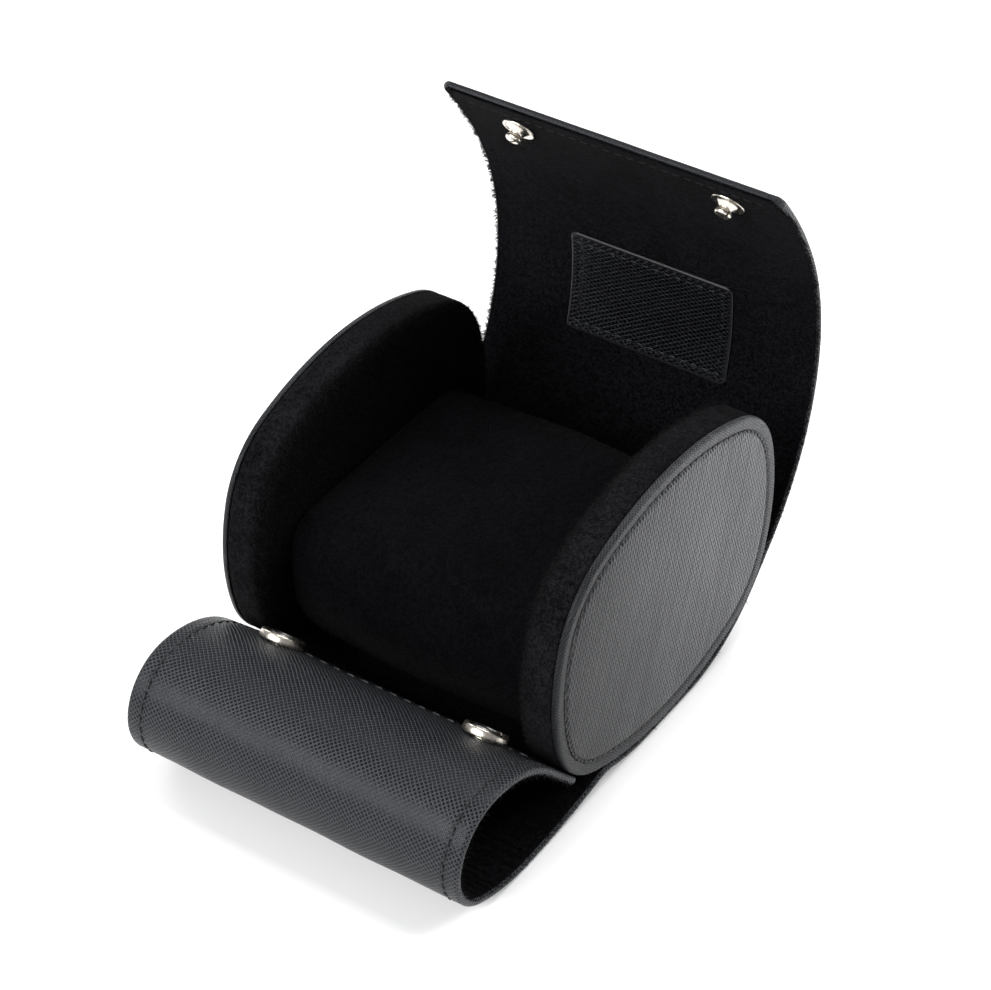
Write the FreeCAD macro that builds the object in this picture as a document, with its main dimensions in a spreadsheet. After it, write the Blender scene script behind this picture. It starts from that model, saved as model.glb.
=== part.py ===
import FreeCAD, Part
import math
import os

doc = FreeCAD.newDocument("watch_roll")
sheet = doc.addObject("Spreadsheet::Sheet", "sizes")

# Driving sizes, in millimetres and degrees
sizes = {
    # wrap: one long strip of leather, board and suede lining
    "wrap_width": 89.0,
    "cover_thick": 0.9,
    "board_thick": 0.4,
    "lining_thick": 0.7,
    "panel_gap": 0.5,
    "board_inset": 1.5,
    "lining_inset": 1.2,
    # base of the wrap, under the caps
    "crease_back": 24.0,
    "crease_height": 3.0,
    "base_front_run": 18.0,
    "base_flat": 17.1,
    "base_back_radius": 40.0,
    "base_back_turn": 47.0,
    # front flap: heel, floor bend, nose, crest and straight tip
    "heel_run": 32.0,
    "floor_bend_radius": 45.0,
    "floor_bend_turn": 24.0,
    "nose_radius": 14.4,
    "nose_turn": 156.0,
    "crest_radius": 30.0,
    "crest_turn": 46.5,
    "tip_run": 16.6,
    "front_hinge_start": 0.55,
    "heel_length": 15.45,
    "floor_length": 24.0,
    "bend_length": 18.0,
    "nose_length": 14.0,
    "crest_length": 16.0,
    # back flap: straight rise, then three gentle bends
    "back_rise": 10.0,
    "back_low_radius": 67.0,
    "back_low_turn": 20.0,
    "back_mid_radius": 67.5,
    "back_mid_turn": 50.0,
    "back_top_radius": 110.0,
    "back_top_turn": 15.0,
    "back_hinge_start": 0.25,
    "back_lower_length": 21.75,
    "back_middle_length": 20.0,
    # label patch on the lining of the back flap
    "label_width": 44.4,
    "label_height": 26.0,
    "label_thick": 0.8,
    "label_from_hinge": 3.0,
    # end caps: eight-arc ovals
    "cap_overhang": 0.5,
    "cap_spread": "=wrap_width + 2 * cap_overhang",
    "cap_half_length": 46.0,
    "cap_half_height": 36.1,
    "cap_top_radius": 80.0,
    "cap_side_radius": 52.0,
    "cap_corner_radius": 24.0,
    "cap_lift": 0.2,
    "cap_depth": 10.0,
    "face_thick": 1.2,
    "face_round": 0.5,
    "cap_board_thick": 1.5,
    "cap_lining_thick": 3.6,
    "cap_lining_round": 2.2,
    "band_thick": 1.0,
    # cushion between the caps
    "cushion_side_clear": 0.5,
    "cushion_middle": -1.1,
    "cushion_half_depth": 36.0,
    "cushion_height": 45.7,
    "cushion_floor": 2.6,
    "cushion_foot_radius": 29.0,
    "cushion_brow_radius": 8.0,
    "cushion_side_bulge": 5.0,
    "cushion_top_bulge": 3.0,
    "cushion_crown": 1.2,
    "belt_thick": 1.0,
    "end_thick": 1.0,
    # ring snaps
    "snap_spread": 55.2,
    "stud_from_edge": 12.35,
    "socket_from_edge": 18.6,
    "flange_diameter": 8.4,
    "flange_thick": 0.8,
    "neck_diameter": 3.4,
    "ball_diameter": 4.4,
    "ball_depth": 2.7,
    "stud_bore": 1.8,
    "post_head_diameter": 8.0,
    "post_clear": 0.1,
    "stud_lift": 0.13,
    "ring_diameter": 11.0,
    "ring_opening": 6.4,
    "ring_height": 2.7,
    "spring_wire": 0.7,
    "spring_height": 1.9,
    "tube_diameter": 6.0,
    "tube_bore": 5.0,
    "tube_rise": 1.2,
    "tube_flange": 8.0,
    "tube_flange_thick": 0.5,
    "tube_flange_seat": 0.3,
}
for row, (name, value) in enumerate(sizes.items(), start=1):
    sheet.set("A%d" % row, name)
    sheet.set("B%d" % row, str(value))
    sheet.setAlias("B%d" % row, name)
doc.recompute()


def size(name):
    return float(getattr(sheet, name))


wall = size("cover_thick") + size("board_thick") + size("lining_thick")
half_gap = size("panel_gap") / 2


# A path is a chain of lines and arcs along the outer face of the wrap, in the Y and Z plane
def heading_of(angle):
    return (math.cos(math.radians(angle)), math.sin(math.radians(angle)))


def make_path(start, angle, steps, side):
    pieces = []
    point = start
    run = 0.0
    for length, turn in steps:
        ahead = heading_of(angle)
        left = (-ahead[1], ahead[0])
        piece = {"from": run, "length": length, "start": point, "angle": angle, "turn": turn}
        if turn:
            radius = length / math.radians(turn)
            centre = (point[0] + left[0] * radius, point[1] + left[1] * radius)
            piece["radius"] = radius
            piece["centre"] = centre
            angle = angle + turn
            ahead = heading_of(angle)
            point = (centre[0] + ahead[1] * radius, centre[1] - ahead[0] * radius)
        else:
            point = (point[0] + ahead[0] * length, point[1] + ahead[1] * length)
        pieces.append(piece)
        run = run + length
    return {"pieces": pieces, "length": run, "end": point, "end_angle": angle, "side": side}


def place_on(path, run, depth):
    piece = path["pieces"][0]
    for candidate in path["pieces"]:
        if run >= candidate["from"]:
            piece = candidate
    along = run - piece["from"]
    angle = piece["angle"]
    if piece["turn"]:
        angle = angle + piece["turn"] * along / piece["length"]
        ahead = heading_of(angle)
        reach = piece["radius"]
        point = (piece["centre"][0] + ahead[1] * reach, piece["centre"][1] - ahead[0] * reach)
    else:
        ahead = heading_of(angle)
        point = (piece["start"][0] + ahead[0] * along, piece["start"][1] + ahead[1] * along)
    inward = (-ahead[1] * path["side"], ahead[0] * path["side"])
    return (point[0] + inward[0] * depth, point[1] + inward[1] * depth), angle


def flat_point(pair):
    return FreeCAD.Vector(pair[0], pair[1], 0)


def strip_edges(path, begin, end, outer, inner):
    marks = [begin]
    for piece in path["pieces"]:
        if begin < piece["from"] < end:
            marks.append(piece["from"])
    marks.append(end)
    edges = []
    spans = list(zip(marks[:-1], marks[1:]))
    for depth, ordered in ((outer, spans), (inner, [(b, a) for a, b in reversed(spans)])):
        for first, last in ordered:
            middle = (first + last) / 2
            owner = [p for p in path["pieces"] if middle >= p["from"]][-1]
            tiny = (last - first) * 1e-9
            a = flat_point(place_on(path, first + tiny, depth)[0])
            b = flat_point(place_on(path, last - tiny, depth)[0])
            if owner["turn"]:
                m = flat_point(place_on(path, middle, depth)[0])
                edges.append(Part.Arc(a, m, b))
            else:
                edges.append(Part.LineSegment(a, b))
        if depth == outer:
            a = flat_point(place_on(path, end, outer)[0])
            b = flat_point(place_on(path, end, inner)[0])
            edges.append(Part.LineSegment(a, b))
    a = flat_point(place_on(path, begin, inner)[0])
    b = flat_point(place_on(path, begin, outer)[0])
    edges.append(Part.LineSegment(a, b))
    return edges


def side_plane(body):
    for feature in body.Origin.OriginFeatures:
        if feature.Role == "YZ_Plane":
            return feature


def side_sketch(body, name, edges, offset):
    sketch = body.newObject("Sketcher::SketchObject", name)
    sketch.AttachmentSupport = [(side_plane(body), "")]
    sketch.MapMode = "FlatFace"
    sketch.setExpression("AttachmentOffset.Base.z", offset)
    for edge in edges:
        sketch.addGeometry(edge, False)
    return sketch


# A slab is a sketch in the Y and Z plane, padded along X from the place its offset names
def slab(name, edges, offset, length):
    body = doc.addObject("PartDesign::Body", name)
    sketch = side_sketch(body, name + "_outline", edges, offset)
    pad = body.newObject("PartDesign::Pad", name + "_pad")
    pad.Profile = sketch
    pad.setExpression("Length", length)
    sketch.Visibility = False
    return body


def panel(name, path, begin, end, outer, inner, width="sizes.wrap_width"):
    edges = strip_edges(path, begin, end, outer, inner)
    return slab(name, edges, "-%s / 2" % width, width)


# Paths of the wrap
crease = (-size("crease_back"), size("crease_height"))
front_half = math.degrees(math.atan(size("crease_height") / size("base_front_run")))
front_rise_radius = size("base_front_run") / math.sin(math.radians(2 * front_half))
heel_half = math.degrees(math.atan(size("crease_height") / size("heel_run")))
heel_radius = size("heel_run") / math.sin(math.radians(2 * heel_half))


def bend(turn, radius):
    return (radius * math.radians(abs(turn)), turn)


base_path = make_path(crease, -2 * front_half, [
    bend(2 * front_half, front_rise_radius),
    (size("base_flat"), 0),
    bend(size("base_back_turn"), size("base_back_radius")),
], 1)
back_path = make_path(base_path["end"], base_path["end_angle"], [
    (size("back_rise"), 0),
    bend(size("back_low_turn"), size("back_low_radius")),
    bend(size("back_mid_turn"), size("back_mid_radius")),
    bend(size("back_top_turn"), size("back_top_radius")),
], 1)
front_path = make_path(crease, 180 + 2 * heel_half, [
    bend(-2 * heel_half, heel_radius),
    bend(-size("floor_bend_turn"), size("floor_bend_radius")),
    bend(-size("nose_turn"), size("nose_radius")),
    bend(-size("crest_turn"), size("crest_radius")),
    (size("tip_run"), 0),
], -1)

cover_in = size("cover_thick")
board_in = cover_in + size("board_thick")
nodes = {}

full_width = "sizes.wrap_width"
lining_width = "(sizes.wrap_width - 2 * sizes.lining_inset)"
board_width = "(sizes.wrap_width - 2 * sizes.board_inset)"


# One panel of the wrap: cover, lining and, where it is stiff, a board between them
def wrap_panel(name, path, begin, end, stiff):
    nodes[name + "_cover"] = panel(name + "_cover", path, begin, end, 0, cover_in, full_width)
    lining_from = cover_in
    if stiff:
        lining_from = board_in
        board_begin = begin + size("board_inset")
        board_end = end - size("board_inset")
        nodes[name + "_board"] = panel(
            name + "_board", path, board_begin, board_end, cover_in, board_in, board_width)
    nodes[name + "_lining"] = panel(name + "_lining", path, begin, end, lining_from, wall, lining_width)


# Base of the wrap, glued under both caps
wrap_panel("base", base_path, 0, base_path["length"], True)

# Back flap: three panels, with the bend lines between them
back_marks = [size("back_hinge_start")]
for name in ("back_lower_length", "back_middle_length"):
    back_marks.append(back_marks[-1] + size(name))
wrap_panel("back_lower", back_path, back_marks[0] + half_gap, back_marks[1] - half_gap, True)
wrap_panel("back_middle", back_path, back_marks[1] + half_gap, back_marks[2] - half_gap, True)
wrap_panel("back_upper", back_path, back_marks[2] + half_gap, back_path["length"], True)

# Front flap: two panels on the floor, then the curl
front_marks = [size("front_hinge_start")]
for name in ("heel_length", "floor_length", "bend_length", "nose_length", "crest_length"):
    front_marks.append(front_marks[-1] + size(name))
front_names = ("front_heel", "front_floor", "front_bend", "front_nose", "front_crest")
for index, name in enumerate(front_names):
    begin = front_marks[index] + half_gap
    end = front_marks[index + 1] - half_gap
    wrap_panel(name, front_path, begin, end, False)
wrap_panel("front_tip", front_path, front_marks[5] + half_gap, front_path["length"], True)

# Label patch, bare, on the lining of the back flap
label_begin = back_marks[2] + size("label_from_hinge")
nodes["label_patch"] = panel(
    "label_patch", back_path, label_begin, label_begin + size("label_height"),
    wall, wall + size("label_thick"), "sizes.label_width")

# End caps
cap_middle = wall + size("cap_lift") + size("cap_half_height")


def oval_edges(inset):
    top = size("cap_top_radius")
    side = size("cap_side_radius")
    corner = size("cap_corner_radius")
    top_centre = (0.0, size("cap_half_height") - top)
    side_centre = (size("cap_half_length") - side, 0.0)
    across = (side_centre[0] - top_centre[0], side_centre[1] - top_centre[1])
    apart = math.hypot(across[0], across[1])
    reach_top = top - corner
    reach_side = side - corner
    along = (apart ** 2 + reach_top ** 2 - reach_side ** 2) / (2 * apart)
    out = math.sqrt(reach_top ** 2 - along ** 2)
    unit = (across[0] / apart, across[1] / apart)
    corner_y = top_centre[0] + unit[0] * along + unit[1] * out
    corner_z = top_centre[1] + unit[1] * along - unit[0] * out
    side_end = math.atan2(corner_z, corner_y - side_centre[0])
    top_end = math.atan2(corner_z - top_centre[1], corner_y)
    quarter = math.pi / 2
    arcs = []
    for turn in range(4):
        flip_y = -1 if turn in (1, 2) else 1
        flip_z = -1 if turn in (2, 3) else 1
        parts = [(side_centre, side, 0.0, side_end), ((corner_y, corner_z), corner, side_end, top_end),
                 (top_centre, top, top_end, quarter)]
        if turn in (1, 3):
            parts = [(c, r, b, a) for c, r, a, b in reversed(parts)]
        for centre, radius, first, last in parts:
            ends = []
            for angle in (first, (first + last) / 2, last):
                y = (centre[0] + (radius - inset) * math.cos(angle)) * flip_y
                z = (centre[1] + (radius - inset) * math.sin(angle)) * flip_z
                ends.append(FreeCAD.Vector(y, z + cap_middle, 0))
            arcs.append(Part.Arc(ends[0], ends[1], ends[2]))
    return arcs


def rounded(body, feature, x, radius):
    doc.recompute()
    chosen = []
    for number, edge in enumerate(feature.Shape.Edges, start=1):
        box = edge.BoundBox
        if abs(box.XMin - x) < 1e-3 and abs(box.XMax - x) < 1e-3:
            chosen.append("Edge%d" % number)
    fillet = body.newObject("PartDesign::Fillet", body.Name + "_round")
    fillet.Base = (feature, chosen)
    fillet.setExpression("Radius", radius)
    return fillet


half_spread = size("cap_spread") / 2
cap_inner = half_spread - size("cap_depth")
face_in = "(sizes.cap_spread / 2 - sizes.face_thick)"
board_in_x = "(sizes.cap_spread / 2 - sizes.face_thick - sizes.cap_board_thick)"
cap_in = "(sizes.cap_spread / 2 - sizes.cap_depth)"
lining_out = "(sizes.cap_spread / 2 - sizes.cap_depth + sizes.cap_lining_thick)"
foam_deep = "(sizes.cap_depth - sizes.face_thick - sizes.cap_board_thick - sizes.cap_lining_thick)"
band_deep = "(sizes.cap_depth - sizes.face_thick - sizes.cap_lining_thick)"
for side_name, sign in (("left", -1), ("right", 1)):
    def span(inner, deep):
        return inner if sign > 0 else "-%s - %s" % (inner, deep)
    start = side_name + "_cap_"
    face = slab(start + "face", oval_edges(0), span(face_in, "sizes.face_thick"), "sizes.face_thick")
    rounded(face, face.Tip, sign * half_spread, "sizes.face_round")
    nodes[start + "face"] = face
    nodes[start + "board"] = slab(
        start + "board", oval_edges(size("band_thick")), span(board_in_x, "sizes.cap_board_thick"),
        "sizes.cap_board_thick")
    nodes[start + "foam"] = slab(
        start + "foam", oval_edges(size("band_thick")), span(lining_out, foam_deep), foam_deep)
    nodes[start + "band"] = slab(
        start + "band", oval_edges(0) + oval_edges(size("band_thick")), span(lining_out, band_deep), band_deep)
    lining = slab(
        start + "lining", oval_edges(0), span(cap_in, "sizes.cap_lining_thick"), "sizes.cap_lining_thick")
    rounded(lining, lining.Tip, sign * cap_inner, "sizes.cap_lining_round")
    nodes[start + "lining"] = lining

# Cushion: a crowned form, lofted through three sections
cushion_half = cap_inner - size("cushion_side_clear")
foot_z = size("cushion_floor")


def cushion_edges(inset, shrink):
    foot = size("cushion_foot_radius")
    brow = size("cushion_brow_radius")
    side_bulge = math.radians(size("cushion_side_bulge"))
    top_bulge = math.radians(size("cushion_top_bulge"))
    half = size("cushion_half_depth") - shrink
    tall = size("cushion_height") - shrink
    sine = math.sin(side_bulge)
    cosine = math.cos(side_bulge)
    slope = math.tan(top_bulge / 2)
    lean = cosine - math.sin(top_bulge)
    share = 2 * sine - slope * (1 - cosine)
    rest = tall - foot * (1 - sine) - brow * (math.cos(top_bulge) - sine) - slope * (half - brow * lean)
    side = rest / share
    flat = half - foot * cosine - side * (1 - cosine)
    top = (flat + foot * cosine - brow * lean) / math.sin(top_bulge)
    turns = [(foot, 90 - math.degrees(side_bulge)), (side, 2 * math.degrees(side_bulge)),
             (brow, 90 - math.degrees(side_bulge) - math.degrees(top_bulge)),
             (top, 2 * math.degrees(top_bulge)),
             (brow, 90 - math.degrees(side_bulge) - math.degrees(top_bulge)),
             (side, 2 * math.degrees(side_bulge)), (foot, 90 - math.degrees(side_bulge))]
    steps = [(2 * flat, 0)]
    for radius, turn in turns:
        steps.append(bend(turn, radius))
    path = make_path((size("cushion_middle") - flat, foot_z), 0, steps, 1)
    edges = []
    for number, piece in enumerate(path["pieces"]):
        run = piece["from"]
        tiny = piece["length"] * 1e-9
        a = flat_point(place_on(path, run + tiny, inset)[0])
        b = flat_point(place_on(path, run + piece["length"] - tiny, inset)[0])
        m = flat_point(place_on(path, run + piece["length"] / 2, inset)[0])
        edges.append(Part.Arc(a, m, b) if piece["turn"] else Part.LineSegment(a, b))
    return edges


half_length_cell = "(sizes.cap_spread / 2 - sizes.cap_depth - sizes.cushion_side_clear)"


def cushion_form(name, inset):
    body = doc.addObject("PartDesign::Body", name)
    stations = [("a", "-" + half_length_cell, 1.0), ("b", "0 * sizes.cap_depth", 0.0), ("c", half_length_cell, 1.0)]
    sketches = []
    for letter, offset, crown_share in stations:
        edges = cushion_edges(inset, size("cushion_crown") * crown_share)
        sketches.append(side_sketch(body, name + "_" + letter, edges, offset))
    loft = body.newObject("PartDesign::AdditiveLoft", name + "_loft")
    loft.Profile = sketches[0]
    loft.Sections = sketches[1:]
    return body


outer_form = cushion_form("cushion_outside", 0)
inner_form = cushion_form("cushion_inside", size("belt_thick"))
belt = doc.addObject("Part::Cut", "cushion_belt")
belt.Base = outer_form
belt.Tool = inner_form
nodes["cushion_belt"] = belt


def slice_box(name, left, right):
    box = doc.addObject("Part::Box", name)
    deep = "2 * sizes.cushion_half_depth"
    box.setExpression("Length", "%s - %s" % (right, left))
    box.setExpression("Width", "2 * " + deep)
    box.setExpression("Height", "2 * sizes.cushion_height")
    box.setExpression("Placement.Base.x", left)
    box.setExpression("Placement.Base.y", "sizes.cushion_middle - " + deep)
    box.setExpression("Placement.Base.z", "-sizes.cushion_height / 2")
    return box


end_cell = "(%s - sizes.end_thick)" % half_length_cell
slices = (("cushion_left_end", "-" + half_length_cell, "-" + end_cell), ("cushion_foam", "-" + end_cell, end_cell),
          ("cushion_right_end", end_cell, half_length_cell))
for name, left, right in slices:
    cut = doc.addObject("Part::Common", name)
    cut.Base = inner_form
    cut.Tool = slice_box(name + "_slice", left, right)
    nodes[name] = cut


# Ring snaps: turned pieces, their outlines given as radius and height, up from the face they sit on
def turned_pair(name, outline, run, path, depth):
    point, angle = place_on(path, run, depth)
    turn = FreeCAD.Rotation(FreeCAD.Vector(1, 0, 0), angle + 90)
    pair = []
    for side_name, sign in (("left", "-"), ("right", "")):
        sketch = doc.addObject("Sketcher::SketchObject", "%s_%s_outline" % (name, side_name))
        for first, last in zip(outline, outline[1:] + outline[:1]):
            a = FreeCAD.Vector(first[0], first[1], 0)
            b = FreeCAD.Vector(last[0], last[1], 0)
            if len(last) > 2:
                m = FreeCAD.Vector(last[2], last[3], 0)
                sketch.addGeometry(Part.Arc(a, m, b), False)
            else:
                sketch.addGeometry(Part.LineSegment(a, b), False)
        solid = doc.addObject("Part::Revolution", "%s_%s" % (name, side_name))
        solid.Source = sketch
        solid.Axis = FreeCAD.Vector(0, 1, 0)
        solid.Angle = 360
        solid.Solid = True
        solid.Placement = FreeCAD.Placement(FreeCAD.Vector(0, point[0], point[1]), turn)
        solid.setExpression("Placement.Base.x", "%ssizes.snap_spread / 2" % sign)
        pair.append(solid)
    both = doc.addObject("Part::Compound", name)
    both.Links = pair
    nodes[name] = both
    return both


def drill(name, diameter, run, path, depth_from, depth_to):
    point, angle = place_on(path, run, depth_from)
    turn = FreeCAD.Rotation(FreeCAD.Vector(1, 0, 0), angle)
    if path["side"] < 0:
        turn = FreeCAD.Rotation(FreeCAD.Vector(1, 0, 0), angle + 180)
    drills = []
    for side_name, sign in (("left", "-"), ("right", "")):
        drill_bit = doc.addObject("Part::Cylinder", "%s_bore_%s" % (name, side_name))
        drill_bit.setExpression("Radius", diameter + " / 2")
        drill_bit.Height = depth_to - depth_from
        drill_bit.Placement = FreeCAD.Placement(FreeCAD.Vector(0, point[0], point[1]), turn)
        drill_bit.setExpression("Placement.Base.x", "%ssizes.snap_spread / 2" % sign)
        drills.append(drill_bit)
    bores = doc.addObject("Part::Compound", name + "_bores")
    bores.Links = drills
    whole = nodes[name]
    whole.Label = name + "_blank"
    bored = doc.addObject("Part::Cut", name + "_bored")
    bored.Base = whole
    bored.Tool = bores
    bored.Label = name
    nodes[name] = bored


# Studs on the lining of the back flap, their posts held in the board
stud_run = back_path["length"] - size("stud_from_edge")
flange = size("flange_diameter") / 2
neck = size("neck_diameter") / 2
ball = size("ball_diameter") / 2
stud_bore = size("stud_bore") / 2
flange_top = size("flange_thick")
ball_top = flange_top + size("ball_depth")
ball_middle = ball_top - ball * 0.6
diagonal = math.sqrt(0.5)
bore_top = ball_middle
turned_pair("snap_studs", [
    (stud_bore, 0), (flange, 0), (flange, flange_top / 2), (flange - flange_top / 2, flange_top),
    (neck, flange_top), (neck, ball_middle - ball * 0.6), (ball, ball_middle),
    (ball * 0.6, ball_top, ball * 0.9, ball_middle + ball * 0.42), (0, ball_top), (0, bore_top), (stud_bore, bore_top),
], stud_run, back_path, wall + size("stud_lift"))
head = size("post_head_diameter") / 2
shank = stud_bore - size("post_clear") / 2
head_deep = size("board_thick") - size("post_clear")
lining_deep = size("lining_thick")
turned_pair("stud_posts", [
    (0, -lining_deep - head_deep), (head, -lining_deep - head_deep), (head, -lining_deep), (shank, -lining_deep),
    (shank, bore_top - size("post_clear")), (0, bore_top - size("post_clear")),
], stud_run, back_path, wall)
spare = wall
drill("back_upper_lining", "(sizes.stud_bore + sizes.post_clear)", stud_run, back_path, cover_in - spare, wall + spare)
drill("back_upper_board", "(sizes.post_head_diameter + sizes.post_clear)", stud_run, back_path,
      cover_in - spare, wall + spare)

# Sockets on the leather of the front flap
socket_run = front_path["length"] - size("socket_from_edge")
ring = size("ring_diameter") / 2
opening = size("ring_opening") / 2
ring_top = size("ring_height")
lip = (ring - opening) / 2
turned_pair("snap_sockets", [
    (opening, 0), (ring, 0), (ring, ring_top - lip),
    (opening, ring_top - lip, opening + lip, ring_top),
], socket_run, front_path, 0)
wire = size("spring_wire") / 2
spring = opening - wire - size("post_clear") / 2
spring_z = size("spring_height")
turned_pair("socket_springs", [
    (spring - wire, spring_z), (spring + wire, spring_z, spring, spring_z + wire),
    (spring - wire, spring_z, spring, spring_z - wire),
][1:], socket_run, front_path, 0)
tube = size("tube_diameter") / 2
tube_in = size("tube_bore") / 2
tube_flange = size("tube_flange") / 2
tube_seat = -wall - size("tube_flange_seat")
tube_low = tube_seat - size("tube_flange_thick")
turned_pair("socket_posts", [
    (tube_in, tube_low), (tube_flange, tube_low), (tube_flange, tube_seat), (tube, tube_seat),
    (tube, size("tube_rise")), (tube_in, size("tube_rise")),
], socket_run, front_path, 0)
for name in ("front_tip_cover", "front_tip_board", "front_tip_lining"):
    drill(name, "(sizes.tube_diameter + sizes.post_clear)", socket_run, front_path, -spare, wall + spare)

# Checks and export
doc.recompute()
for item in doc.Objects:
    if "Invalid" in item.State or "Error" in item.State:
        raise RuntimeError("object in error: %s %s" % (item.Name, item.State))
os.makedirs("parts", exist_ok=True)
for name, item in nodes.items():
    shape = item.Shape
    if shape.isNull() or not shape.isValid():
        raise RuntimeError("bad shape: " + name)
    item.Label = name
    shape.exportStep("parts/%s.step" % name)
    box = shape.BoundBox
    print("%-20s solids %d volume %9.1f  y %7.2f %7.2f  z %7.2f %7.2f" % (
        name, len(shape.Solids), shape.Volume, box.YMin, box.YMax, box.ZMin, box.ZMax))
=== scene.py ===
import math
import bmesh
import bpy
import numpy as np
from mathutils import Matrix, Vector


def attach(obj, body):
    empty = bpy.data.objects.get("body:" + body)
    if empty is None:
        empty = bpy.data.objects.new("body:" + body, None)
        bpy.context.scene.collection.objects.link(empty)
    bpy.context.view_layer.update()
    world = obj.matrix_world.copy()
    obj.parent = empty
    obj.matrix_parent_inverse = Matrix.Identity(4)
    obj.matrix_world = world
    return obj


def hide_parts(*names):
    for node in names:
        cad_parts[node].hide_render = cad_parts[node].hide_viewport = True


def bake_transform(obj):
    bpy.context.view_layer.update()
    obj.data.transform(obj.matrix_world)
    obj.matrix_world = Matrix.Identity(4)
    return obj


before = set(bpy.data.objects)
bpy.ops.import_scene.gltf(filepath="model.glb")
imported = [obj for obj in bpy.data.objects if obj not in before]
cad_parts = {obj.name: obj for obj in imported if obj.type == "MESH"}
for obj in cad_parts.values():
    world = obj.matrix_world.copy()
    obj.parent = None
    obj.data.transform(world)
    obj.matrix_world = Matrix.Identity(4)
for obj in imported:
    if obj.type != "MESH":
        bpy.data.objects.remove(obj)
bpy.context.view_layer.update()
scene = bpy.context.scene
mm = 0.001
print("frame loaded")


# Paths of the wrap in the Y and Z plane, in millimetres and degrees, along the outer face of the leather
def bend(turn, radius):
    return (radius * math.radians(abs(turn)), turn)


def stepAlong(start, angle, length, turn, along):
    a = math.radians(angle)
    if not turn:
        return (start[0] + along * math.cos(a), start[1] + along * math.sin(a)), angle
    radius = length / math.radians(turn)
    b = a + along / radius
    point = (start[0] + radius * (math.sin(b) - math.sin(a)), start[1] - radius * (math.cos(b) - math.cos(a)))
    return point, math.degrees(b)


def pathOf(start, angle, steps):
    pieces, run = [], 0.0
    for length, turn in steps:
        pieces.append((run, start, angle, length, turn))
        start, angle = stepAlong(start, angle, length, turn, length)
        run += length
    return {"pieces": pieces, "length": run, "end": start, "angle": angle}


def pathAt(path, run):
    chosen = [p for p in path["pieces"] if run >= p[0]] or path["pieces"][:1]
    begin, start, angle, length, turn = chosen[-1]
    return stepAlong(start, angle, length, turn, run - begin)


wrapShape = {
    "crease": (-24.0, 3.0), "frontRun": 18.0, "flat": 17.1, "backRadius": 40.0, "backTurn": 47.0,
    "heelRun": 32.0, "floorBend": (-24.0, 45.0), "nose": (-156.0, 14.4), "crest": (-46.5, 30.0), "tipRun": 16.6,
    "rise": 10.0, "low": (20.0, 67.0), "middle": (50.0, 67.5), "top": (15.0, 110.0), "creaseRound": 3.5,
    "bendDepth": 1.0,
}
halfFront = math.degrees(math.atan(wrapShape["crease"][1] / wrapShape["frontRun"]))
halfHeel = math.degrees(math.atan(wrapShape["crease"][1] / wrapShape["heelRun"]))
basePath = pathOf(wrapShape["crease"], -2 * halfFront, [
    bend(2 * halfFront, wrapShape["frontRun"] / math.sin(math.radians(2 * halfFront))),
    (wrapShape["flat"], 0), bend(wrapShape["backTurn"], wrapShape["backRadius"])])
backPath = pathOf(basePath["end"], basePath["angle"], [
    (wrapShape["rise"], 0), bend(*wrapShape["low"]), bend(*wrapShape["middle"]), bend(*wrapShape["top"])])
frontPath = pathOf(wrapShape["crease"], 180 + 2 * halfHeel, [
    bend(-2 * halfHeel, wrapShape["heelRun"] / math.sin(math.radians(2 * halfHeel))),
    bend(*wrapShape["floorBend"]), bend(*wrapShape["nose"]), bend(*wrapShape["crest"]), (wrapShape["tipRun"], 0)])
frontEnd = -frontPath["length"]
baseEnd = basePath["length"]
backEnd = baseEnd + backPath["length"]


# One run for the whole wrap: below zero the front flap, then the base, then the back flap
def plainWrapAt(u):
    if u < 0:
        point, angle = pathAt(frontPath, -u)
        return point, angle + 180
    if u < baseEnd:
        return pathAt(basePath, u)
    return pathAt(backPath, u - baseEnd)


def wrapAt(u):
    reach = wrapShape["creaseRound"]
    if abs(u) >= reach:
        point, angle = plainWrapAt(u)
        a = math.radians(angle)
        return np.array(point), np.array((math.cos(a), math.sin(a)))
    first, last = np.array(plainWrapAt(-reach)[0]), np.array(plainWrapAt(reach)[0])
    middle = np.array(wrapShape["crease"])
    t = (u + reach) / (2 * reach)
    point = (1 - t) ** 2 * first + 2 * t * (1 - t) * middle + t * t * last
    ahead = (1 - t) * (middle - first) + t * (last - middle)
    return point, ahead / np.linalg.norm(ahead)


def onWrap(u, x, depth):
    point, ahead = wrapAt(u)
    return np.array((x, point[0] - ahead[1] * depth, point[1] + ahead[0] * depth))


def wrapAxes(u):
    ahead = wrapAt(u)[1]
    return np.array((0, ahead[0], ahead[1])), np.array((0, -ahead[1], ahead[0]))


# Where the wrap is cut into pieces: the cut places along the run, and the name of each piece between two cuts
wrapCuts = [frontEnd, -80.0, -65.0, -49.0, -28.0, -8.0, 34.0, baseEnd + 11.0, baseEnd + 32.0, backEnd]
wrapNames = ["tip", "crest", "nose", "bend", "floor", "crease", "rise", "lower", "upper"]


def followBend(piece):
    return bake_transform(piece)


def bendIndex(u):
    return next((index for index, cut in enumerate(wrapCuts[1:]) if u <= cut), len(wrapNames) - 1)


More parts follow.
